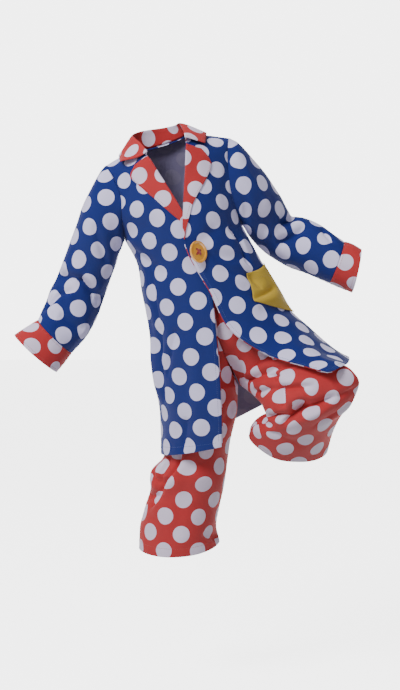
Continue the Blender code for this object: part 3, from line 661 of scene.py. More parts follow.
def tubes_mesh(name: str, tubes: list[Array], flip: bool = False) -> bpy.types.Mesh:
    """Mesh of tubes with capped ends.

    Args:
        name: of the mesh.
        tubes: each as rings x sides x 3, in mm.
        flip: whether their rings turn the other way.

    Returns:
        The mesh.
    """
    faces, first = [], 0
    for tube in tubes:
        index = ring_numbers(*tube.shape[:2]) + first
        start, end = index[0, :-1], index[-1, :-1]
        faces += faces_of(index, flip).tolist()
        caps = (start, end[::-1]) if flip else (start[::-1], end)
        faces += [cap.tolist() for cap in caps]
        first += tube[..., 0].size
    return mesh_of(name, np.concatenate([tube.reshape(-1, 3) for tube in tubes]), faces)


def link(mesh: bpy.types.Mesh, slot: str, *finishes: Finish) -> bpy.types.Object:
    """Smooth object of a mesh with its finishes, in the scene and riding on the costume.

    Args:
        mesh: of the object, which gets its name.
        slot: its material slot.
        finishes: its materials, in order.

    Returns:
        The object.
    """
    mesh.shade_smooth()
    for which in finishes:
        mesh.materials.append(which.material())
    obj = bpy.data.objects.new(mesh.name, mesh)
    bpy.context.scene.collection.objects.link(obj)
    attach(obj, "root")
    return obj


def tube_along(path: Array, radius: float, sides: int) -> Array:
    """Rings of a round thread along a path: point + radius (normal cos + binormal sin).

    Args:
        path: the thread's middle line.
        radius: of the thread.
        sides: points in each ring.

    Returns:
        Rings x sides x 3.
    """
    forward = unit(np.gradient(path, axis=0))
    guide = unit(np.cross(forward, ASKEW))
    other = np.cross(forward, guide)
    turn = np.linspace(0, TAU, sides, endpoint=False)[None, :, None]
    return path[:, None] + radius * (guide[:, None] * np.cos(turn) + other[:, None] * np.sin(turn))


@dataclass(frozen=True)
class Stitch:
    """A stitch: a short thread as thick as width sqrt(1-t^4), lower by sink t^2 at its ends."""
    length: float = 3.0
    gap: float = 0.9
    width: float = 0.7
    sink: float = 0.25
    blunt: float = 0.02             # how little it tapers at its ends
    ahead: float = 0.8              # how far on its direction is read
    rings: int = 5
    sides: int = 5

    def rows(self, name: str, paths: list[tuple[Array, Array]], cloth: Cloth) -> bpy.types.Object:
        """A row of stitches along each path.

        Args:
            name: what they sew.
            paths: points along the cloth and the cloth's normals there, in mm.
            cloth: the cloth that they sew, which gives their thread and their slot.

        Returns:
            One object that holds all the stitches.
        """
        t = np.linspace(-1, 1, self.rings)[:, None]
        turn = np.linspace(0, TAU, self.sides, endpoint=False)
        along = np.repeat(t * self.length / 2, self.sides, axis=1)
        thick = np.sqrt(np.clip(1 - t ** 4, self.blunt, 1)) * self.width / 2
        shape = np.stack([along, thick * np.cos(turn), thick * np.sin(turn) - self.sink * t ** 2],
                         axis=-1)
        tubes = []
        for points, normals in paths:
            run = run_of(points)
            at = np.arange(self.length, run[-1] - self.length / 2, self.length + self.gap)
            middle, ahead, up = (
                np.stack([np.interp(places, run, column) for column in values.T], axis=1)
                for places, values in ((at, points), (at + self.ahead, points), (at, normals)))
            forward = unit(ahead - middle)
            side = unit(np.cross(up, forward))
            axes = np.stack([forward, side, np.cross(forward, side)], axis=1)
            tubes += list(middle[:, None, None] + np.einsum("rsk,nkd->nrsd", shape, axes))
        slot, _, _, thread = cloth.value
        return link(tubes_mesh("stitching_" + name, tubes), slot, thread)


@dataclass
class ClothPiece:
    """One cut and sewn piece: a thin shell that replaces its solid."""
    node: str
    cloth: Cloth
    grid: Array                     # outer points, rows x columns x 3, in mm
    laid: Laid = Laid()
    moved: Array | float = 0.0      # what its folds move on the flat cut, in mm
    flip: bool = False
    closed: bool = False            # a tube, whose last column is its first one again
    thickness: float = CLOTH
    held: str = "draped"
    rests_on: tuple[str, ...] = ()
    sewing: tuple[str, list] | None = None      # name and paths of its rows of stitches

    def build(self) -> None:
        stitching = [Stitch().rows(*self.sewing, self.cloth)] if self.sewing else []
        slot, right, wrong, _ = self.cloth.value
        rows, columns = self.grid.shape[:2]
        flat_index = np.arange(rows * columns).reshape(rows, columns)
        index, points = flat_index, self.grid
        if self.closed:
            index, points = ring_numbers(rows, columns - 1), self.grid[:, :-1]
        cut = FlatCut(self.grid)
        mesh = mesh_of(self.node + "_cloth", points, faces_of(index, self.flip).tolist())
        corners = faces_of(flat_index, self.flip).ravel()
        uvs = cut.on_cloth(self.laid, self.moved).reshape(-1, 2)[corners]
        mesh.uv_layers.new(name="cut").uv.foreach_set("vector", uvs.astype(np.float32).ravel())
        obj = link(mesh, slot, right, wrong)
        wall = obj.modifiers.new("thickness", "SOLIDIFY")
        wall.thickness = self.thickness * MM
        wall.offset = -1
        wall.material_offset = 1
        wall.material_offset_rim = 0
        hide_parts(self.node)
        width, length, area = cut.size()
        list(self.rests_on)
        LOG.info("%s: %d points, cut %.3f x %.3f m", obj.name, rows * columns, width, length)


# ---- The coat ----
LEVELS = {"hem": 0, "low": 90, "skirt": 175, "seat": 255, "waist": 345, "button": 410,
          "armpit": 460, "chest": 520, "blade": 565, "yoke": 610, "cap": 636, "shoulder": 650}
ARMPIT, SHOULDER = LEVELS["armpit"], LEVELS["shoulder"]


def level_line(table: Table, heights: Array) -> Array:
    """A seam line of the coat, from a table of level, x, y, z."""
    return smooth([LEVELS[row[0]] for row in table], [row[1:] for row in table], heights)


def by_level(table: Table, heights: Array) -> list[Array]:
    """Columns of a coat table, read straight between its levels."""
    knots = [LEVELS[row[0]] for row in table]
    return [np.interp(heights, knots, column) for column in list(zip(*table))[1:]]


def side_line(side: Table, armhole: Table, heights: Array) -> Array:
    """The side seam up to the armpit and the armhole above it; the line may turn at the armpit."""
    heights = np.asarray(heights, float)
    below = level_line(side, np.minimum(heights, ARMPIT))
    above = level_line(armhole, np.maximum(heights, ARMPIT))
    return np.where((heights <= ARMPIT)[..., None], below, above)


@dataclass(frozen=True)
class CoatSide:
    """Seam lines of one side of the coat, as level, x, y, z, and the creases of its front."""
    hand: str
    outward: int
    side: Table
    armhole_front: Table
    armhole_back: Table
    edge: Table
    folds: Table
    lapel: Table            # height above the hem, share of the row from the roll to the outer edge
    laid: Laid
    lapel_laid: Laid
    facing_laid: Laid


COAT_RIGHT = CoatSide(
    hand="right", outward=1,
    side=(("hem", 6, 10, -654), ("low", 3, 8, -562), ("skirt", -12, 5, -481),
        ("seat", -17, 3, -401), ("waist", -34, 0, -313), ("button", -45, 3, -250),
        ("armpit", -69, 8, -205)),
    armhole_front=(("armpit", -69, 8, -205), ("chest", -74, -36, -154), ("blade", -76, -40, -113),
        ("yoke", -92, -24, -75), ("cap", -103, -8, -58), ("shoulder", -110, 8, -49)),
    armhole_back=(("armpit", -69, 8, -205), ("chest", -78, 54, -154), ("blade", -86, 58, -108),
        ("yoke", -98, 40, -70), ("cap", -106, 25, -54), ("shoulder", -110, 8, -49)),
    edge=(("hem", 133, -120, -625), ("low", 133, -122, -569), ("skirt", 129, -119, -484),
        ("seat", 122, -116, -398), ("waist", 115, -112, -325), ("button", 102, -107, -241),
        ("armpit", 80, -106, -194), ("chest", 43, -98, -127), ("blade", 6, -78, -68),
        ("yoke", -21, -57, -29), ("shoulder", -52, 5, -14)),
    folds=((0.34, 405, 0.33, 250, 8, -5, 8, 5), (0.33, 275, 0.27, 110, 9, -7, 12, 6),
        (0.58, 275, 0.38, 170, 8, -5, 8, 5), (0.56, 0, 0.61, 90, 9, -5, 6, 3),
        (0.12, 330, 0.20, 90, 10, 4), (0.62, 0, 0.66, 240, 18, -3), (0.74, 0, 0.76, 330, 16, 3),
        (0.15, 440, 0.55, 380, 14, -5, 4)),
    lapel=((452, 0.015), (470, 0.05), (492, 0.09), (516, 0.195), (534, 0.28), (550, 0.38),
        (568, 0.48), (580, 0.55), (588, 0.57), (596, 0.51), (606, 0.34)),
    laid=Laid(0.2, 35.2, -3.5), lapel_laid=Laid(39.8, 31.5, -10.1), facing_laid=Laid(20, 0, 0))
COAT_LEFT = CoatSide(
    hand="left", outward=-1,
    side=(("hem", 398, -40, -446), ("low", 365, -35, -427), ("skirt", 320, -25, -388),
        ("seat", 278, -15, -350), ("waist", 254, -8, -310), ("button", 218, -3, -250),
        ("armpit", 177, 8, -175)),
    armhole_front=(("armpit", 177, 8, -175), ("chest", 159, -36, -130), ("blade", 149, -40, -84),
        ("yoke", 146, -24, -31), ("cap", 147, -8, -2), ("shoulder", 149, 8, 9)),
    armhole_back=(("armpit", 177, 8, -175), ("chest", 167, 54, -132), ("blade", 158, 58, -80),
        ("yoke", 150, 40, -27), ("cap", 150, 25, 0), ("shoulder", 149, 8, 9)),
    edge=(("hem", 340, -232, -462), ("low", 294, -200, -451), ("skirt", 218, -152, -430),
        ("seat", 149, -132, -383), ("waist", 108, -126, -306), ("button", 67, -120, -235),
        ("armpit", 54, -116, -194), ("chest", 54, -103, -127), ("blade", 57, -80, -64),
        ("yoke", 59, -57, -2), ("shoulder", 63, 5, 20)),
    folds=((0.43, 462, 0.29, 438, 7, -6, 12, -5), (0.31, 448, 0.38, 402, 6, -6, 12, 5),
        (0.62, 322, 0.14, 356, 10, -5, 6, -11), (0.43, 392, 0.41, 352, 9, -5, 4, 4),
        (0.82, 416, 0.42, 414, 10, -5, 4), (0.80, 396, 0.30, 372, 12, -5, 4),
        (0.86, 440, 0.55, 470, 12, -4), (0.62, 0, 0.70, 200, 16, 3),
        (0.35, 0, 0.45, 170, 16, -3, 4), (0.10, 250, 0.60, 300, 24, -4),
        (0.20, 430, 0.70, 330, 16, -3)),
    lapel=((452, 0.012), (470, 0.035), (492, 0.08), (516, 0.135), (534, 0.23), (550, 0.34),
        (568, 0.46), (580, 0.54), (588, 0.56), (596, 0.50), (606, 0.34)),
    laid=Laid(11.0, 5.1, -0.2), lapel_laid=Laid(46.1, 36.0, 27.9), facing_laid=Laid(20, 27, 0))
SIDES = (COAT_RIGHT, COAT_LEFT)


@dataclass
class Coat:
    """The body of the coat: two fronts, the back, the lapels, the facings and the patch pocket."""
    # level, angle at which a row leaves the side (degrees), how far it has become the top seam
    front_shape: Table = (
        ("hem", 0, 0.0), ("armpit", 4, 0.0), ("chest", 28, 0.0), ("blade", 38, 0.0),
        ("yoke", 42, 0.35), ("shoulder", 45, 1.0))
    back_shape: Table = (
        ("hem", 0, 0.0), ("armpit", 0, 0.0), ("chest", 28, 0.0), ("blade", 34, 0.15),
        ("yoke", 38, 0.6), ("shoulder", 45, 1.0))
    # level, reach of the back's middle from the line between its sides
    back_reach: Table = (
        ("hem", 0, 140, -24), ("low", 0, 138, -18), ("skirt", 0, 134, -12), ("seat", 0, 128, -6),
        ("waist", 0, 112, 0), ("button", 0, 104, 0), ("armpit", 0, 98, 0), ("chest", 0, 52, 0),
        ("blade", 0, 45, 0), ("yoke", 0, 34, 0), ("shoulder", 0, 30, 0))
    neck_back_reach: tuple = (0, 45, -8)
    shoulder_share: float = 0.3
    front_width: float = 200
    back_width: float = 560
    back_grid: float = 4.4
    back_folds: Table = (
        (0.18, 0, 0.22, 300, 30, 7), (0.34, 0, 0.34, 330, 26, -7), (0.50, 0, 0.48, 360, 30, 7),
        (0.66, 0, 0.62, 320, 26, -7), (0.82, 0, 0.76, 300, 28, 6), (0.15, 470, 0.35, 380, 18, -5),
        (0.85, 470, 0.65, 380, 18, -5), (0.10, 440, 0.24, 400, 9, -6, 10, 4),
        (0.08, 392, 0.21, 330, 9, -5, 8, -3), (0.90, 452, 0.76, 418, 9, -6, 10, -4),
        (0.93, 400, 0.80, 345, 9, -5, 8, 3), (0.40, 560, 0.47, 490, 11, -4, 5),
        (0.60, 575, 0.53, 505, 11, -4, 5), (0.68, 262, 0.88, 150, 11, -6, 8, -4),
        (0.72, 180, 0.93, 60, 10, -5, 8, 3), (0.27, 310, 0.31, 60, 10, -5, 6, 3),
        (0.52, 300, 0.57, 40, 11, -6, 8, -3))
    armhole_valley: tuple = (420, ARMPIT, 570, 620)     # where sleeves hang close beside the coat
    edge_row: float = 0.965         # share of the row where the front's edge is stitched
    front_rumple: float = 1.4
    back_rumple: float = 2.2
    facing_width: float = 38
    facing_top: float = 440
    facing_show: float = 1.6        # how far the facing rolls out past the front's edge
    lapel_inset: float = 0.035      # share of the row from the lapel's edge to its stitches
    # pocket corners, low then high, at the side then at the front: share, height above the hem
    pocket: tuple = (((0.02, 244), (0.62, 320)), ((0.02, 408), (0.485, 388)))
    pocket_out: float = WALL + 1.5
    pocket_rows: tuple = (0.035, 0.10)      # its stitches, as shares in from its edges
    pocket_hem: float = 0.86        # share of its height where its hem is stitched

    def front(self, half: CoatSide) -> Drape:
        """A front: each row is a quarter of an ellipse, mixed with a straight one towards the top.

        Args:
            half: the side of the coat.

        Returns:
            Its draped surface.
        """
        def plain(share: Array, height: Array) -> Array:
            """Points of the plain front at a share of the row at a height."""
            start = side_line(half.side, half.armhole_front, height)
            end = level_line(half.edge, height)
            leave, straight = by_level(self.front_shape, height)
            turn_from = np.radians(leave)
            reach = np.zeros(start.shape)
            reach[..., 1] = (end - start)[..., 1] / (1 - np.sin(turn_from))
            row = arc(start, end, reach, turn_from, np.full(turn_from.shape, math.pi / 2), share)
            seam = start + (end - start) * share[..., None]
            return row + (seam - row) * straight[..., None]
        return self.hung(plain, half.outward, self.front_width, half.folds,
                         seed=3 + half.outward, rumple_depth=self.front_rumple)

    def back(self) -> Drape:
        """The back: half an ellipse between the sides, mixed with the top row towards the top."""
        def plain(share: Array, height: Array) -> Array:
            """Points of the plain back at a share of the row at a height."""
            start, end = (side_line(half.side, half.armhole_back, height) for half in SIDES)
            leave, becoming_top = by_level(self.back_shape, height)
            turn_from = np.radians(leave)
            reach = np.stack(by_level(self.back_reach, height), -1)
            reach = reach / (1 - np.sin(turn_from))[..., None]
            row = arc(start, end, reach, turn_from, math.pi - turn_from, share)
            top_start, top_end = self.back_top(np.array([0.0, 1.0]))
            s = share[..., None]
            carried = self.back_top(share) + (start - top_start) * (1 - s) + (end - top_end) * s
            return row + (carried - row) * becoming_top[..., None]
        return self.hung(plain, -1, self.back_width, self.back_folds, seed=9,
                         rumple_depth=self.back_rumple)

    def hung(self, plain: Surface, outward: int, width: float, folds: Table,
             **more: float) -> Drape:
        """A part of the body: hemmed below, sewn in at the shoulder, in a valley at the armhole."""
        return Drape(plain, outward, width, SHOULDER, folds, seam_end=SEWN_DROP, hem_start=True,
                     valley=self.armhole_valley, **more)

    def back_top(self, share: Array) -> Array:
        """The back's top row: shoulder seam, neckline, shoulder seam.

        Args:
            share: places along the row.

        Returns:
            Points of the row.
        """
        top_right, top_left = (np.array(half.armhole_back[-1][1:], float) for half in SIDES)
        neck_right, neck_left = (np.array(half.edge[-1][1:], float) for half in SIDES)
        s = self.shoulder_share
        first = np.clip(share / s, 0, 1)[..., None]
        last = np.clip((share - 1 + s) / s, 0, 1)[..., None]
        neck = self.neckline_back(np.clip((share - s) / (1 - 2 * s), 0, 1))
        return np.where(first < 1, top_right + (neck_right - top_right) * first,
                        np.where(last > 0, neck_left + (top_left - neck_left) * last, neck))

    def neckline_back(self, share: Array) -> Array:
        """The back neckline, half an ellipse between the neck points."""
        right, left = (np.array(half.edge[-1][1:], float) for half in SIDES)
        zero, half_turn = np.zeros(share.shape), np.full(share.shape, math.pi)
        return arc(right, left, np.array(self.neck_back_reach, float), zero, half_turn, share)

    def build(self) -> None:
        """Make every piece of the coat's body."""
        below = stations(ARMPIT, start=0.0, end=0.0, extra=(HEM,))
        heights = np.unique(np.concatenate([
            [0.0], below, ARMPIT + stations(SHOULDER - ARMPIT, start=0.0)]))
        for half in SIDES:
            front = self.front(half)
            self.build_front(half, front, heights)
            self.build_lapel(half, front)
            self.build_facing(half, front)
        back = self.back()
        grid = sewn_grid(stations(self.back_width, self.back_grid), heights, (True, True),
                         (False, True), self.back_width)
        hem = back.path(np.linspace(0.003, 0.997, 200), HEM_SEWN)
        ClothPiece("coat_back", Cloth.BLUE, back(*grid), moved=back.moved(*grid), flip=True,
                   rests_on=("coat_front_right", "coat_front_left"),
                   sewing=("hem_back", [hem])).build()
        self.build_pocket()

    def build_front(self, half: CoatSide, front: Drape, heights: Array) -> None:
        """One front with its hem and its stitched edge.

        Args:
            half: the side of the coat.
            front: its draped surface.
            heights: of its rows.
        """
        across = stations(self.front_width, extra=(self.edge_row * self.front_width,))
        grid = sewn_grid(across, heights, (True, False), (False, True), self.front_width)
        rows = [front.path(np.linspace(0.01, 0.96, 90), HEM_SEWN),
                front.path(self.edge_row, np.linspace(HEM, self.facing_top, 120))]
        ClothPiece(f"coat_front_{half.hand}", Cloth.BLUE, front(*grid), half.laid,
                   front.moved(*grid), half.outward < 0, rests_on=("coat_back",),
                   sewing=(f"front_{half.hand}", rows)).build()

    def build_lapel(self, half: CoatSide, front: Drape) -> None:
        """The lapel: the front's surface lifted, from edge - width at the roll out to the edge.

        Args:
            half: the side of the coat.
            front: its draped surface.
        """
        heights = np.linspace(half.lapel[0][0], half.lapel[-1][0], 58)
        width = np.interp(heights, *zip(*half.lapel))
        edge, lift = 1 - SEAM / self.front_width, WALL + LYING
        place = np.broadcast_arrays(edge - width[:, None] * np.linspace(1, 0, 19), heights[:, None])
        inner = edge - np.maximum(width - self.lapel_inset, 0.005)
        row = front.path(inner[6:-3], heights[6:-3], lift + THREAD_UP)
        ClothPiece(f"lapel_{half.hand}", Cloth.RED, front(*place, lift), half.lapel_laid,
                   flip=half.outward < 0, thickness=TRIM, held="folded",
                   rests_on=(f"coat_front_{half.hand}",),
                   sewing=(f"lapel_{half.hand}", [row])).build()

    def build_facing(self, half: CoatSide, front: Drape) -> None:
        """The facing behind the front's edge, rolled a little past it to show as a line.

        Args:
            half: the side of the coat.
            front: its draped surface.
        """
        heights = stations(self.facing_top, start=0.0, end=0.0)
        outer = 1 + (self.facing_show - SEAM) / self.front_width
        width = (self.facing_width + self.facing_show) / self.front_width
        place = np.broadcast_arrays(outer - width * np.linspace(1, 0, 11), heights[:, None])
        ClothPiece(f"front_facing_{half.hand}", Cloth.RED_DOUBLED, front(*place, -WALL - LYING),
                   half.facing_laid, flip=half.outward < 0,
                   rests_on=(f"coat_front_{half.hand}",)).build()

    def build_pocket(self) -> None:
        """The patch pocket that wraps the side of the left front, with its rows of sewing."""
        front, corners = self.front(COAT_LEFT), np.array(self.pocket, float)

        def place(across: Array | float, up: Array | float) -> Array:
            """Share and height of a place on the pocket, straight between its corners."""
            weights = np.stack([1 - up, up]), np.stack([1 - across, across])
            return np.einsum("u...,a...,uak->k...", *weights, corners)

        up, across = np.meshgrid(np.linspace(0, 1, 38), np.linspace(0, 1, 34), indexing="ij")
        edges = []
        for inset in self.pocket_rows:
            edges += [place(1 - inset, np.linspace(0.98, inset, 60)),
                      place(np.linspace(1 - inset, inset, 60), inset)]
        edges.append(place(np.linspace(0.03, 0.97, 60), self.pocket_hem))
        rows = [front.path(*edge, self.pocket_out + THREAD_UP) for edge in edges]
        ClothPiece("pocket_left", Cloth.YELLOW, front(*place(across, up), self.pocket_out),
                   flip=True, thickness=1.2, held="laid", rests_on=("coat_front_left",),
                   sewing=("pocket", rows)).build()


# ---- Sleeves ----
@dataclass(frozen=True)
class Arm:
    """One sleeve and its cuff: rings as distance, outer x y z, inner x y z, half depth."""
    half: CoatSide
    sleeve: Table
    cuff: Table
    folds: Table
    laid: Laid
    cuff_laid: Laid


ARMS = (
    Arm(COAT_RIGHT,
        sleeve=((25, -126, 8, -70, -76, 10, -221, 52), (45, -147, 8, -108, -81, 12, -231, 56),
        (85, -170, 10, -169, -88, 15, -255, 56), (125, -188, 15, -219, -99, 18, -284, 52),
        (175, -213, 18, -282, -113, 20, -324, 50), (208, -229, 10, -315, -128, 10, -366, 49),
        (242, -240, -12, -348, -149, -8, -405, 48), (278, -249, -33, -369, -179, -28, -439, 46)),
        cuff=((0, -249, -33, -369, -179, -28, -439, 46), (26, -270, -52, -382, -192, -44, -457, 46),
        (55, -294, -74, -398, -208, -62, -476, 46)),
        folds=((0.47, 170, 0.24, 157, 8, -10, 14, -10), (0.27, 155, 0.12, 177, 7, -10, 12, -10),
        (0.16, 176, 0.03, 178, 8, -6, 6, -6), (0.38, 204, 0.27, 184, 6, -6, 8, 8),
        (0.44, 242, 0.345, 198, 7, -10, 12, 8), (0.10, 232, 0.30, 226, 9, -5, 4, 6),
        (0.12, 100, 0.30, 60, 12, -6, 4), (0.62, 150, 0.90, 170, 9, -8, 10),
        (0.66, 200, 0.94, 196, 10, -8, 8), (0.60, 235, 0.82, 222, 8, -6, 6)),
        laid=Laid(60.0, 22.5, 2.0), cuff_laid=Laid(54.0, 28.9, -4.9)),
    Arm(COAT_LEFT,
        sleeve=((25, 168, 12, -3, 182, 12, -181, 52), (50, 201, 18, -38, 189, 20, -193, 56),
        (80, 229, 30, -71, 202, 32, -209, 56), (115, 257, 48, -111, 217, 48, -224, 53),
        (150, 280, 62, -150, 239, 58, -241, 50), (176, 306, 55, -156, 273, 52, -261, 49),
        (212, 346, 35, -175, 312, 32, -275, 48), (252, 391, 12, -207, 359, 10, -295, 46)),
        cuff=((0, 391, 12, -207, 359, 10, -295, 46), (22, 409, 5, -212, 382, 3, -305, 46),
        (44, 426, -2, -223, 406, -4, -314, 45)),
        folds=((0.46, 158, 0.31, 134, 7, -11, 14, -10), (0.40, 184, 0.18, 146, 8, -10, 12, -10),
        (0.44, 212, 0.36, 238, 7, -6, 8, 6), (0.46, 158, 0.68, 150, 8, -10, 10, 8),
        (0.16, 20, 0.20, 120, 11, -8, 6), (0.34, 30, 0.30, 110, 9, 3),
        (0.62, 200, 0.86, 230, 12, -6, 6), (0.56, 60, 0.80, 110, 12, -6, 4)),
        laid=Laid(9.3, 0.7, 1.3), cuff_laid=Laid(28.1, 29.2, -4.9)))


@dataclass
class Sleeves:
    """Both sleeves, from the armholes, and the cuffs that end them."""
    around: float = 320
    rumple_depth: float = 1.6
    cuff_rumple: float = 0.8
    cuff_stitches: tuple = (5.0, 6.0)   # from its start and from its end

    def armhole(self, half: CoatSide, share: Array) -> Array:
        """The closed armhole, from the armpit up the front to the shoulder and down the back."""
        height = SHOULDER - np.abs(1 - 2 * share) * (SHOULDER - ARMPIT)
        return np.where((share < 0.5)[..., None], level_line(half.armhole_front, height),
                        level_line(half.armhole_back, height))

    def tube(self, table: Table, half: CoatSide | None = None) -> Surface:
        """A tube's plain form, an ellipse carried along: middle + half axis cos - depth sin.

        Args:
            table: its rings.
            half: the side of the coat whose armhole it starts from, if any.

        Returns:
            The plain form, in which share 0 is the inner seam and 0.25 the front.
        """
        def plain(share: Array, along: Array) -> Array:
            """Points at a share of the ring at a distance."""
            share = np.mod(share, 1.0)
            turn = (TAU * share)[..., None]
            knots, rings = ([0], [self.armhole(half, share)]) if half else ([], [])
            for distance, *ends, depth in table:
                outer, inner = np.array(ends[:3], float), np.array(ends[3:], float)
                knots.append(distance)
                rings.append((outer + inner) / 2 + (inner - outer) / 2 * np.cos(turn)
                             - np.array([0, depth, 0]) * np.sin(turn))
            return smooth(knots, rings, along, own=True)
        return plain

    def build(self) -> None:
        """Make the sleeves, and the cuffs with a row of sewing near both of their edges."""
        shares, open_sides = np.linspace(0, 1, int(self.around / GRID) + 1), (False, False)
        for arm in ARMS:
            hand, outward = arm.half.hand, arm.half.outward
            length = arm.sleeve[-1][0]
            sleeve = Drape(self.tube(arm.sleeve, arm.half), outward, self.around, length, arm.folds,
                           seed=20 + outward, rumple_depth=self.rumple_depth, seam_start=0.0,
                           seam_end=SEWN_DROP)
            grid = sewn_grid(shares, stations(length, start=0.0), open_sides, (True, True))
            ClothPiece(f"sleeve_{hand}", Cloth.BLUE, sleeve(*grid), arm.laid, sleeve.moved(*grid),
                       outward < 0, closed=True, held="hung",
                       rests_on=(f"coat_front_{hand}", "coat_back")).build()
            length = arm.cuff[-1][0]
            cuff = Drape(self.tube(arm.cuff), outward, self.around, length, (), seed=30 + outward,
                         rumple_depth=self.cuff_rumple, seam_start=SEWN_DROP)
            grid = sewn_grid(shares, stations(length, end=0.0), open_sides, (True, False))
            start, end = self.cuff_stitches
            rows = [cuff.path(np.linspace(0, 1, 160), at) for at in (start, length - end)]
            ClothPiece(f"cuff_{hand}", Cloth.RED, cuff(*grid), arm.cuff_laid, flip=outward < 0,
                       closed=True, thickness=TRIM, held="hung", rests_on=(f"sleeve_{hand}",),
                       sewing=(f"cuff_{hand}", rows)).build()


# ---- Collar ----
@dataclass
class Collar:
    """Stand and fall in one: each column is a cubic from the neckline over the roll and down."""
    # x, y, z from the right front round to the left one
    roll: Table = ((-21, -63, -21), (-35, -34, -3), (-52, 4, 14), (-37, 36, 23), (0, 49, 30),
                   (33, 36, 36), (45, 4, 39), (54, -32, 23), (58, -63, 8))
    fall: Table = ((-77, -48, -40), (-79, -22, -36), (-80, 10, -26), (-57, 63, -28), (5, 85, -20),
                   (72, 63, -2), (99, 12, 20), (101, -22, 10), (99, -48, -3))
    off_seam: float = 0.8           # how far it starts up from the neckline's seam
    stand_share: float = 0.6
    bulge: float = 0.32             # share of the fall where it bulges, or drops at the gorge
    lift: Table = ((0.0, -5), (0.10, 3), (0.90, 3), (1.0, 0))   # share of the run, how far up
    sewn_at: float = 0.935          # share of the way down where the edge is stitched
    around: float = 330
    deep: float = 60
    laid: Laid = Laid(28.5, 13.1, -12.0)

    def build(self, coat: Coat) -> None:
        """Make the collar on a coat's neckline.

        Args:
            coat: the coat that it is sewn to.
        """
        heights = np.linspace(LEVELS["yoke"], SHOULDER, 4)
        right, left = (level_line(half.edge, heights) for half in SIDES)
        behind = coat.neckline_back(np.linspace(0, 1, 7)[1:-1])
        neckline = np.concatenate([right, behind, left[::-1]])
        run = np.linspace(0, 1, 97)
        neck, roll, fall = (smooth(np.linspace(0, 1, len(x)), x, run)
                            for x in (neckline, self.roll, self.fall))
        neck = neck + unit(roll - neck) * self.off_seam
        lift = np.interp(run, *zip(*self.lift))[:, None] * np.array([0, 0, 1])
        profile = np.stack([neck, neck + (roll - neck) * self.stand_share, roll,
                            roll + (fall - roll) * self.bulge + lift, fall])
        near = (self.sewn_at - 0.01, self.sewn_at, self.sewn_at + 0.01)
        down = np.unique([*np.linspace(0, 1, 27), *near])
        grid = smooth(np.linspace(0, 1, len(profile)), profile, down)
        normal = unit(np.cross(np.gradient(grid, axis=1), np.gradient(grid, axis=0)))
        wave = rumple(run[None, :], down[:, None] * self.deep, self.around, depth=0.8, seed=41)
        grid = grid - normal * (wave * soft_step(down, 0.3, 0.6)[:, None])[..., None]
        edge = int(np.searchsorted(down, self.sewn_at))
        below = slice(12, edge)         # of the front edges' stitches, which start at the roll
        places = ((edge, slice(None)), (below, 3), (below, -4))
        rows = [(grid[place] - normal[place] * THREAD_UP, -normal[place]) for place in places]
        ClothPiece("collar", Cloth.RED_DOUBLED, grid, self.laid, thickness=1.4, held="folded",
                   rests_on=("coat_back", "coat_front_right", "coat_front_left"),
                   sewing=("collar", rows)).build()


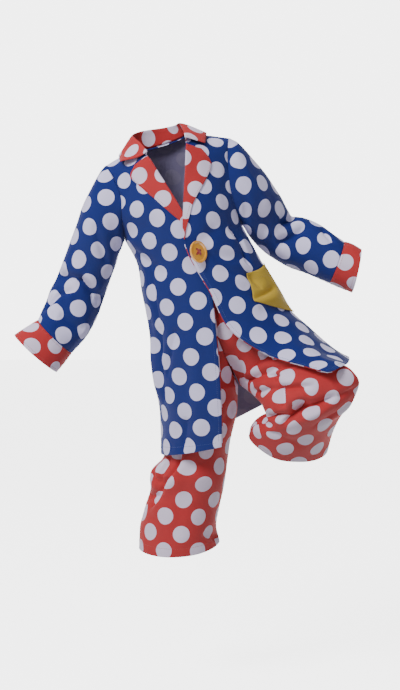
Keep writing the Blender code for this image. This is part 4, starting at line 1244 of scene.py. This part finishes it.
# ---- Button ----
@dataclass
class Button:
    """The one big four-hole button, sewn on with a cross of dark red thread."""
    at: tuple[float, float] = (0.92, 418)       # share of the left front's row, height above hem
    radius: float = 23.0
    thick: float = 4.5
    rim: float = 3.5
    dish: float = 1.4
    dish_slope: float = 3.2         # width of the slope down from the rim
    round_edge: float = 1.9
    centre: float = 0.05            # radius of the points that close both faces
    groove: float = 0.7
    hole_radius: float = 2.0
    hole_pitch: float = 7.8
    tip: float = 33.0               # degrees that its buttonhole tips it towards the side seam
    rest: float = -0.4              # its lower edge over the cloth's plane at its middle
    sides: int = 96
    hole_sides: int = 24
    drill_from: float = -5.0        # height under the back where the drill starts
    sharp: float = 40.0             # degrees over which an edge stays sharp
    strands: int = 5
    thread: float = 0.55            # radius of a strand
    dip: float = 3.2                # how far the strands go into the holes
    pinch: float = 0.35             # how much closer they lie there
    shank: float = 2.4

    def profile(self) -> Array:
        """Radius and height down the section: face, grooved slope, half-round edge, flat back."""
        inner, face = self.radius - self.rim - self.dish_slope, self.thick - self.dish
        turn = np.linspace(math.pi / 2, -math.pi / 2, 13)
        edge = np.stack([self.radius - self.round_edge + self.round_edge * np.cos(turn),
                         self.thick / 2 + self.thick / 2 * np.sin(turn)], axis=1)
        slope = np.linspace(0, 1, 15)
        groove = self.groove * np.exp(-((slope - 0.15) / 0.12) ** 2)
        dish = np.stack([inner + self.dish_slope * slope,
                         face + self.dish * soft_step(slope, 0.2, 1) - groove], axis=1)
        flat = np.stack([np.linspace(self.centre, inner, 6)[:-1], np.full(5, face)], axis=1)
        return np.concatenate([flat, dish, edge, [[self.centre, 0.0]]])

    def build(self, front: Drape) -> None:
        """Make the button, which is its profile turned about its axis and tipped, and its thread.

        Args:
            front: the left front's draped surface.
        """
        (foot,), (up,) = front.path(np.array([self.at[0]]), self.at[1], 0.0)
        side = unit(np.cross([0.0, 0.0, 1.0], up))
        cos, sin = math.cos(math.radians(self.tip)), math.sin(math.radians(self.tip))
        base = foot + up * (self.rest + (self.radius - self.round_edge) * sin)
        up, side = up * cos + side * sin, side * cos - up * sin
        axes = np.stack([side, np.cross(up, side), up])
        turn = np.linspace(0, TAU, self.sides, endpoint=False)
        radii, heights = self.profile().T[..., None]
        rings = np.stack(np.broadcast_arrays(
            radii * np.cos(turn), radii * np.sin(turn), heights), axis=-1)
        disc = link(tubes_mesh("button_disc", [rings @ axes + base], flip=True), "button_plastic",
                    Finish.RESIN)
        self.drill(disc, axes, base)
        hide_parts("button")
        strands = [path @ axes + base for path in self.strand_paths(axes @ (foot - base))]
        tubes = [tube_along(path, self.thread, 6) for path in strands]
        link(tubes_mesh("button_thread", tubes), "red_cloth", Finish.DARK_RED_THREAD)

    def drill(self, disc: bpy.types.Object, axes: Array, base: Array) -> None:
        """Cut the four holes with round prisms and keep the result as the disc's mesh.

        Args:
            disc: the button's object.
            axes: its two axes across and its axis up.
            base: the middle of its back.
        """
        turn = np.linspace(0, TAU, self.hole_sides, endpoint=False)
        holes = []
        for quarter in range(4):
            middle = math.radians(45 + 90 * quarter)
            x = self.hole_pitch * math.cos(middle) + self.hole_radius * np.cos(turn)
            y = self.hole_pitch * math.sin(middle) + self.hole_radius * np.sin(turn)
            rings = np.stack([np.stack([x, y, np.full_like(x, z)], axis=-1)
                              for z in (self.drill_from, 2 * self.thick)])
            hole = bpy.data.objects.new("hole", tubes_mesh("hole", [rings @ axes + base]))
            bpy.context.scene.collection.objects.link(hole)
            disc.modifiers.new("hole", "BOOLEAN").object = hole
            holes.append(hole)
        graph = bpy.context.evaluated_depsgraph_get()
        drilled = bpy.data.meshes.new_from_object(disc.evaluated_get(graph))
        disc.modifiers.clear()
        disc.data = drilled
        drilled.set_sharp_from_angle(angle=math.radians(self.sharp))
        for hole in holes:
            bpy.data.objects.remove(hole)

    def strand_paths(self, foot: Array) -> list[Array]:
        """The cross of thread over the face and into the holes, and the wrapped shank.

        Strands run out along their diagonal, as high as face + over (1-t^6) - dip t^14. The shank
        is a helix from the back's middle to the foot.

        Args:
            foot: where the shank meets the cloth, from the middle of the back.

        Returns:
            The middle line of each strand.
        """
        paths, t = [], np.linspace(-1, 1, 15)
        for diagonal in (0, 1):
            turn = math.radians(45 + 90 * diagonal)
            out = self.hole_pitch * (1.02 + 0.10 * np.abs(t) ** 6) * t
            over = self.thread * (1.2 + 1.6 * diagonal) * (1 - t ** 6)
            high = self.thick - self.dish + over - self.dip * np.abs(t) ** 14
            for strand in range(self.strands):
                beside = (2 * strand + 1 - self.strands) * self.thread * (1 - self.pinch * t ** 4)
                paths.append(np.stack([
                    out * math.cos(turn) - beside * math.sin(turn),
                    out * math.sin(turn) + beside * math.cos(turn), high], axis=-1))
        turns = int(np.linalg.norm(foot) / (2 * self.thread))
        t = np.linspace(0, 1, 14 * turns)[:, None]
        coil = TAU * turns * t
        coiled = np.concatenate([np.cos(coil), np.sin(coil), 0 * coil], axis=1)
        paths.append(foot * t + self.shank * coiled)
        return paths


# ---- Trousers ----
@dataclass(frozen=True)
class Leg:
    """One leg: the seam lines and the rows between them at each level, and its folds."""
    hand: str
    outward: int
    # level, distance along, outer x y z, inner x y z, then for the front row and for the back row
    # the angle where it ends and its reach x y z
    rows: Table
    folds_front: Table
    folds_back: Table
    laid: Laid


LEG_RIGHT = Leg(
    hand="right", outward=-1,
    rows=(
        ("waist", 0, -10, 5, -315, 96, -88, -309, 90, 0, -93, 0, 90, 0, 83, 0),
        ("hip", 60, -8, 3, -376, 117, -98, -383, 90, 0, -101, 0, 90, 0, 95, 0),
        ("seat", 120, 0, 3, -439, 142, -72, -446, 122, 0, -92, 0, 118, 0, 92, 0),
        ("crotch", 190, 6, 3, -511, 168, -5, -508, 180, 0, -80, 0, 180, 0, 86, 0),
        ("thigh", 250, 18, 0, -572, 165, 0, -566, 180, 0, -76, 0, 180, 0, 84, 0),
        ("above", 300, 18, 0, -627, 152, 0, -627, 180, 0, -74, -2, 180, 0, 80, 2),
        ("under", 335, 9, 0, -664, 147, 0, -663, 180, 0, -74, -4, 180, 0, 78, 4),
        ("knee", 362, -14, -5, -688, 144, -5, -688, 180, 0, -76, -6, 180, 0, 76, 6),
        ("calf", 400, -16, 0, -727, 138, 0, -727, 180, 0, -76, -8, 180, 0, 76, 8),
        ("shin", 440, -28, 0, -767, 129, 0, -767, 180, 0, -78, -11, 180, 0, 77, 10),
        ("low", 488, -39, 0, -814, 123, 0, -810, 180, 0, -80, -14, 180, 0, 78, 12),
        ("hem", 522, -40, 0, -850, 129, 0, -838, 180, 0, -80, -16, 180, 0, 78, 12)),
    folds_front=((0.325, 308, 0.335, 362, 7, -8, 12, 9), (0.335, 355, 0.24, 397, 7, -10, 14, 11),
        (0.26, 390, 0.15, 434, 8, -8, 8, 7), (0.15, 320, 0.23, 388, 6, -6, 10, -9),
        (0.04, 362, 0.22, 384, 7, -8, 4, -7), (0.03, 412, 0.20, 400, 7, -6, 4, 7),
        (0.72, 478, 0.96, 512, 9, -8, 8), (0.50, 300, 0.46, 500, 16, -3),
        (0.86, 220, 0.55, 340, 14, -4)),
    folds_back=((0.20, 240, 0.80, 200, 16, -5), (0.10, 300, 0.52, 322, 9, -10, 12, 9),
        (0.22, 350, 0.66, 338, 9, -8, 10, -7), (0.90, 330, 0.60, 372, 9, -8, 8, 7),
        (0.30, 478, 0.12, 400, 9, -6, 6, 5), (0.35, 420, 0.80, 395, 14, -4)),
    laid=Laid(52.1, 10.5, 3.0))
LEG_LEFT = Leg(
    hand="left", outward=1,
    rows=(
        ("waist", 0, 206, 5, -300, 96, -88, -309, 90, 0, -93, 0, 90, 0, 83, 0),
        ("hip", 50, 233, -5, -342, 117, -98, -383, 90, -4, -93, 2, 90, 4, 103, -2),
        ("seat", 100, 253, -30, -370, 142, -72, -446, 116, -8, -78, 4, 114, 8, 100, -8),
        ("crotch", 140, 268, -55, -396, 172, -5, -508, 180, -4, -66, 8, 180, 8, 78, -14),
        ("thigh", 180, 298, -88, -414, 194, -45, -521, 180, -22, -60, 13, 180, 26, 62, -15),
        ("mid", 220, 331, -118, -427, 216, -85, -538, 180, -28, -60, 16, 180, 28, 60, -16),
        ("above", 262, 361, -146, -448, 222, -112, -554, 180, -14, -60, 14, 180, 13, 58, -13),
        ("knee", 300, 392, -170, -462, 225, -124, -565, 180, -4, -62, 5, 180, 3, 56, -5),
        ("cap", 326, 408, -178, -485, 227, -124, -571, 180, 2, -60, -7, 180, -2, 52, 6),
        ("under", 352, 401, -164, -514, 224, -114, -576, 180, 0, -56, -19, 180, 0, 46, 16),
        ("shin", 394, 379, -140, -547, 212, -94, -580, 180, -9, -52, -29, 180, 7, 44, 24),
        ("low", 440, 364, -105, -588, 197, -72, -587, 180, -8, -50, -34, 180, 6, 46, 30),
        ("hem", 490, 354, -65, -630, 191, -50, -603, 180, -4, -48, -40, 180, 2, 46, 36)),
    folds_front=((0.96, 296, 0.70, 322, 10, -12, 12, 10), (0.76, 334, 0.54, 301, 9, -16, 16, -10),
        (0.70, 322, 0.34, 328, 9, -16, 10, 15), (0.36, 328, 0.08, 342, 9, -7, 6, 9),
        (0.84, 132, 0.36, 227, 9, -10, 10, -12), (0.60, 188, 0.50, 232, 7, -6, 8, -8),
        (0.52, 214, 0.69, 300, 6, -5, 14, -11), (0.64, 238, 0.42, 290, 7, -7, 12, -10),
        (0.84, 196, 0.62, 240, 9, -7, 6, -7), (0.45, 372, 0.10, 350, 9, -4, 4, 4),
        (0.80, 380, 0.40, 450, 12, -4, 4, 3)),
    folds_back=((0.20, 240, 0.80, 200, 14, -5), (0.08, 300, 0.60, 318, 9, -8, 14, 8),
        (0.20, 344, 0.72, 332, 9, -6, 10, -5), (0.74, 262, 0.35, 296, 9, -5, 10, 5),
        (0.30, 440, 0.55, 380, 10, -4, 5, 3), (0.60, 410, 0.86, 380, 12, -4)),
    laid=Laid(14.4, -10.4, 7.5))


@dataclass
class Trousers:
    """Wide three-quarter trousers: four panels and a gathered waistband."""
    width: float = 230
    # centre back seam of the seat, from the waist to just above the crotch: level, x, y, z
    seat_back: Table = (("waist", 97, 88, -310), ("hip", 118, 98, -382), ("seat", 144, 78, -440))
    band_height: float = 30
    gathers: int = 40
    gather_depth: float = 1.2
    rumple_depth: float = 2.0

    def panel(self, leg: Leg, back: bool) -> Surface:
        """A panel's plain form: arcs from the outer seam to the centre seam, then to the inseam.

        Args:
            leg: the leg that it is a half of.
            back: whether it is the back half.

        Returns:
            The plain form.
        """
        knots, crotch = [row[1] for row in leg.rows], len(self.seat_back)
        outer, inner = [row[2:5] for row in leg.rows], [row[5:8] for row in leg.rows]
        if back:
            inner[:crotch] = [row[1:] for row in self.seat_back]
        turns, *reaches = np.array([row[12:] if back else row[8:12] for row in leg.rows]).T
        turns, reaches = np.radians(turns), np.transpose(reaches)

        def plain(share: Array, along: Array) -> Array:
            """Points at a share of the row at a distance."""
            fork = knots[crotch]
            seat_end = smooth(knots[:crotch + 1], inner[:crotch + 1], np.minimum(along, fork))
            leg_end = smooth(knots[crotch:], inner[crotch:], np.maximum(along, fork))
            end = np.where((along <= fork)[..., None], seat_end, leg_end)
            return arc(smooth(knots, outer, along), end, smooth(knots, reaches, along),
                       np.zeros(along.shape), np.interp(along, knots, turns), share)
        return plain

    def build(self) -> None:
        """Make the four panels, their hems and the waistband."""
        for leg in (LEG_RIGHT, LEG_LEFT):
            length, crotch = leg.rows[-1][1], leg.rows[len(self.seat_back)][1]
            below = stations(length - crotch, start=0.0, end=0.0, extra=(length - crotch - HEM,))
            alongs = np.unique(np.concatenate([stations(crotch, end=0.0), crotch + below]))
            grid = sewn_grid(stations(self.width), alongs, (True, True), (True, False), self.width)
            for back, folds, laid, outward in (
                    (False, leg.folds_front, leg.laid, leg.outward),
                    (True, leg.folds_back, Laid(), -leg.outward)):
                name = f"trousers_{'back' if back else 'front'}_{leg.hand}"
                panel = Drape(self.panel(leg, back), outward, self.width, length, folds,
                              seed=50 + outward + 4 * back, rumple_depth=self.rumple_depth,
                              seam_start=SEWN_DROP, hem_end=True)
                hem = panel.path(np.linspace(0.01, 0.99, 100), length - HEM_SEWN)
                ClothPiece(name, Cloth.RED, panel(*grid), laid, panel.moved(*grid), outward < 0,
                           held="hung", rests_on=("waistband",), sewing=(name, [hem])).build()
        self.build_band()

    def build_band(self) -> None:
        """The waistband: the waist carried up, gathered by depth sin(gathers turn) sin(pi up)."""
        share = np.linspace(0, 1, 30, endpoint=False)
        quarters = ((LEG_RIGHT, False, share), (LEG_LEFT, False, 1 - share),
                    (LEG_LEFT, True, share), (LEG_RIGHT, True, 1 - share))
        waist = np.concatenate([self.panel(leg, back)(places, np.zeros(30))
                                for leg, back, places in quarters])
        waist = np.concatenate([waist, waist[:1]])
        up = np.linspace(SEAM, self.band_height, 14)[:, None]
        out = unit((waist - waist[:-1].mean(axis=0)) * np.array([1, 1, 0]))
        wave = np.sin(self.gathers * np.linspace(0, TAU, len(waist)))
        gather = self.gather_depth * wave * np.sin(math.pi * up / self.band_height)
        grid = waist + np.array([0, 0, 1.0]) * up[..., None] + out * gather[..., None]
        ClothPiece("waistband", Cloth.RED, grid, closed=True, held="gathered",
                   rests_on=("trousers_front_right", "trousers_front_left")).build()


# ---- Studio ----
@dataclass
class Studio:
    """A plain pale floor, soft light from large panels and the camera."""
    camera_at: tuple = (0.0882, -4.0, -0.151)
    looks_at: tuple = (0.0882, 0.0, -0.4242)
    lens: float = 99.6
    floor: float = -1.14
    reach: float = 9.0              # how far the floor goes each way
    sky: float = 0.42
    floor_glow: float = 3.7
    wall_glow: float = 4.5
    lit: tuple = (0.08, 0, -0.4)    # where the lights point
    # name, place, size, power, colour
    lights: Table = (("key", (-1.7, -2.2, 2.0), 1.3, 132.0, (0.95, 0.96, 1.0)),
                     ("fill", (2.4, -2.6, 0.2), 2.4, 4.0, (1.0, 1.0, 1.0)),
                     ("top", (-0.3, 1.2, 2.2), 2.0, 20.0, (1.0, 1.0, 1.0)))

    def build(self) -> None:
        """Place the floor, the backdrop, the lights and the camera."""
        scene = bpy.context.scene
        camera = bpy.data.cameras.new("camera")
        camera.lens = self.lens
        camera.sensor_width = 36
        scene.camera = self.aimed(camera, self.camera_at, self.looks_at)
        world = bpy.data.worlds.new("studio")
        world.use_nodes = True
        world.node_tree.nodes["Background"].inputs[0].default_value = (1, 1, 1, 1)
        world.node_tree.nodes["Background"].inputs[1].default_value = self.sky
        scene.world = world
        z, r, top = self.floor, self.reach, 5
        self.paper("floor", ((-r, -r, z), (r, -r, z), (r, r, z), (-r, r, z)), self.floor_glow)
        self.paper("backdrop", ((-r, r, z), (r, r, z), (r, r, top), (-r, r, top)), self.wall_glow)
        for name, place, size, power, colour in self.lights:
            light = bpy.data.lights.new(name, "AREA")
            light.color = colour
            light.size = size
            light.energy = power
            self.aimed(light, place, self.lit)

    def aimed(self, data: bpy.types.ID, place: tuple, target: tuple) -> bpy.types.Object:
        """Put a camera or a light in the scene.

        Args:
            data: the camera's or the light's.
            place, target: where it stands and where it points.

        Returns:
            The object.
        """
        obj = bpy.data.objects.new(data.name, data)
        obj.location = place
        obj.rotation_euler = (Vector(target) - Vector(place)).to_track_quat("-Z", "Y").to_euler()
        bpy.context.scene.collection.objects.link(obj)
        return obj

    def paper(self, name: str, corners: Table, glow: float) -> None:
        """A sheet of white paper, lit evenly from behind as a light table is.

        Args:
            name: of the sheet.
            corners: its four corners, in metres.
            glow: strength of its light.
        """
        mesh = bpy.data.meshes.new(name)
        mesh.from_pydata(corners, [], [(0, 1, 2, 3)])
        white = Shader("white_paper_" + name, {
            "Base Color": linear("F0F0F0"), "Roughness": 0.9, "Emission Color": (1, 1, 1, 1),
            "Emission Strength": glow})
        mesh.materials.append(white.material)
        sheet = bpy.data.objects.new(name, mesh)
        sheet.visible_diffuse = False
        bpy.context.scene.collection.objects.link(sheet)


def main() -> None:
    """Build the costume and its studio."""
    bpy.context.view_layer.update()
    coat = Coat()
    coat.build()
    Sleeves().build()
    Collar().build(coat)
    Button().build(coat.front(COAT_LEFT))
    Trousers().build()
    Studio().build()


if __name__ == "__main__":
    logging.basicConfig(level=logging.INFO)
    main()
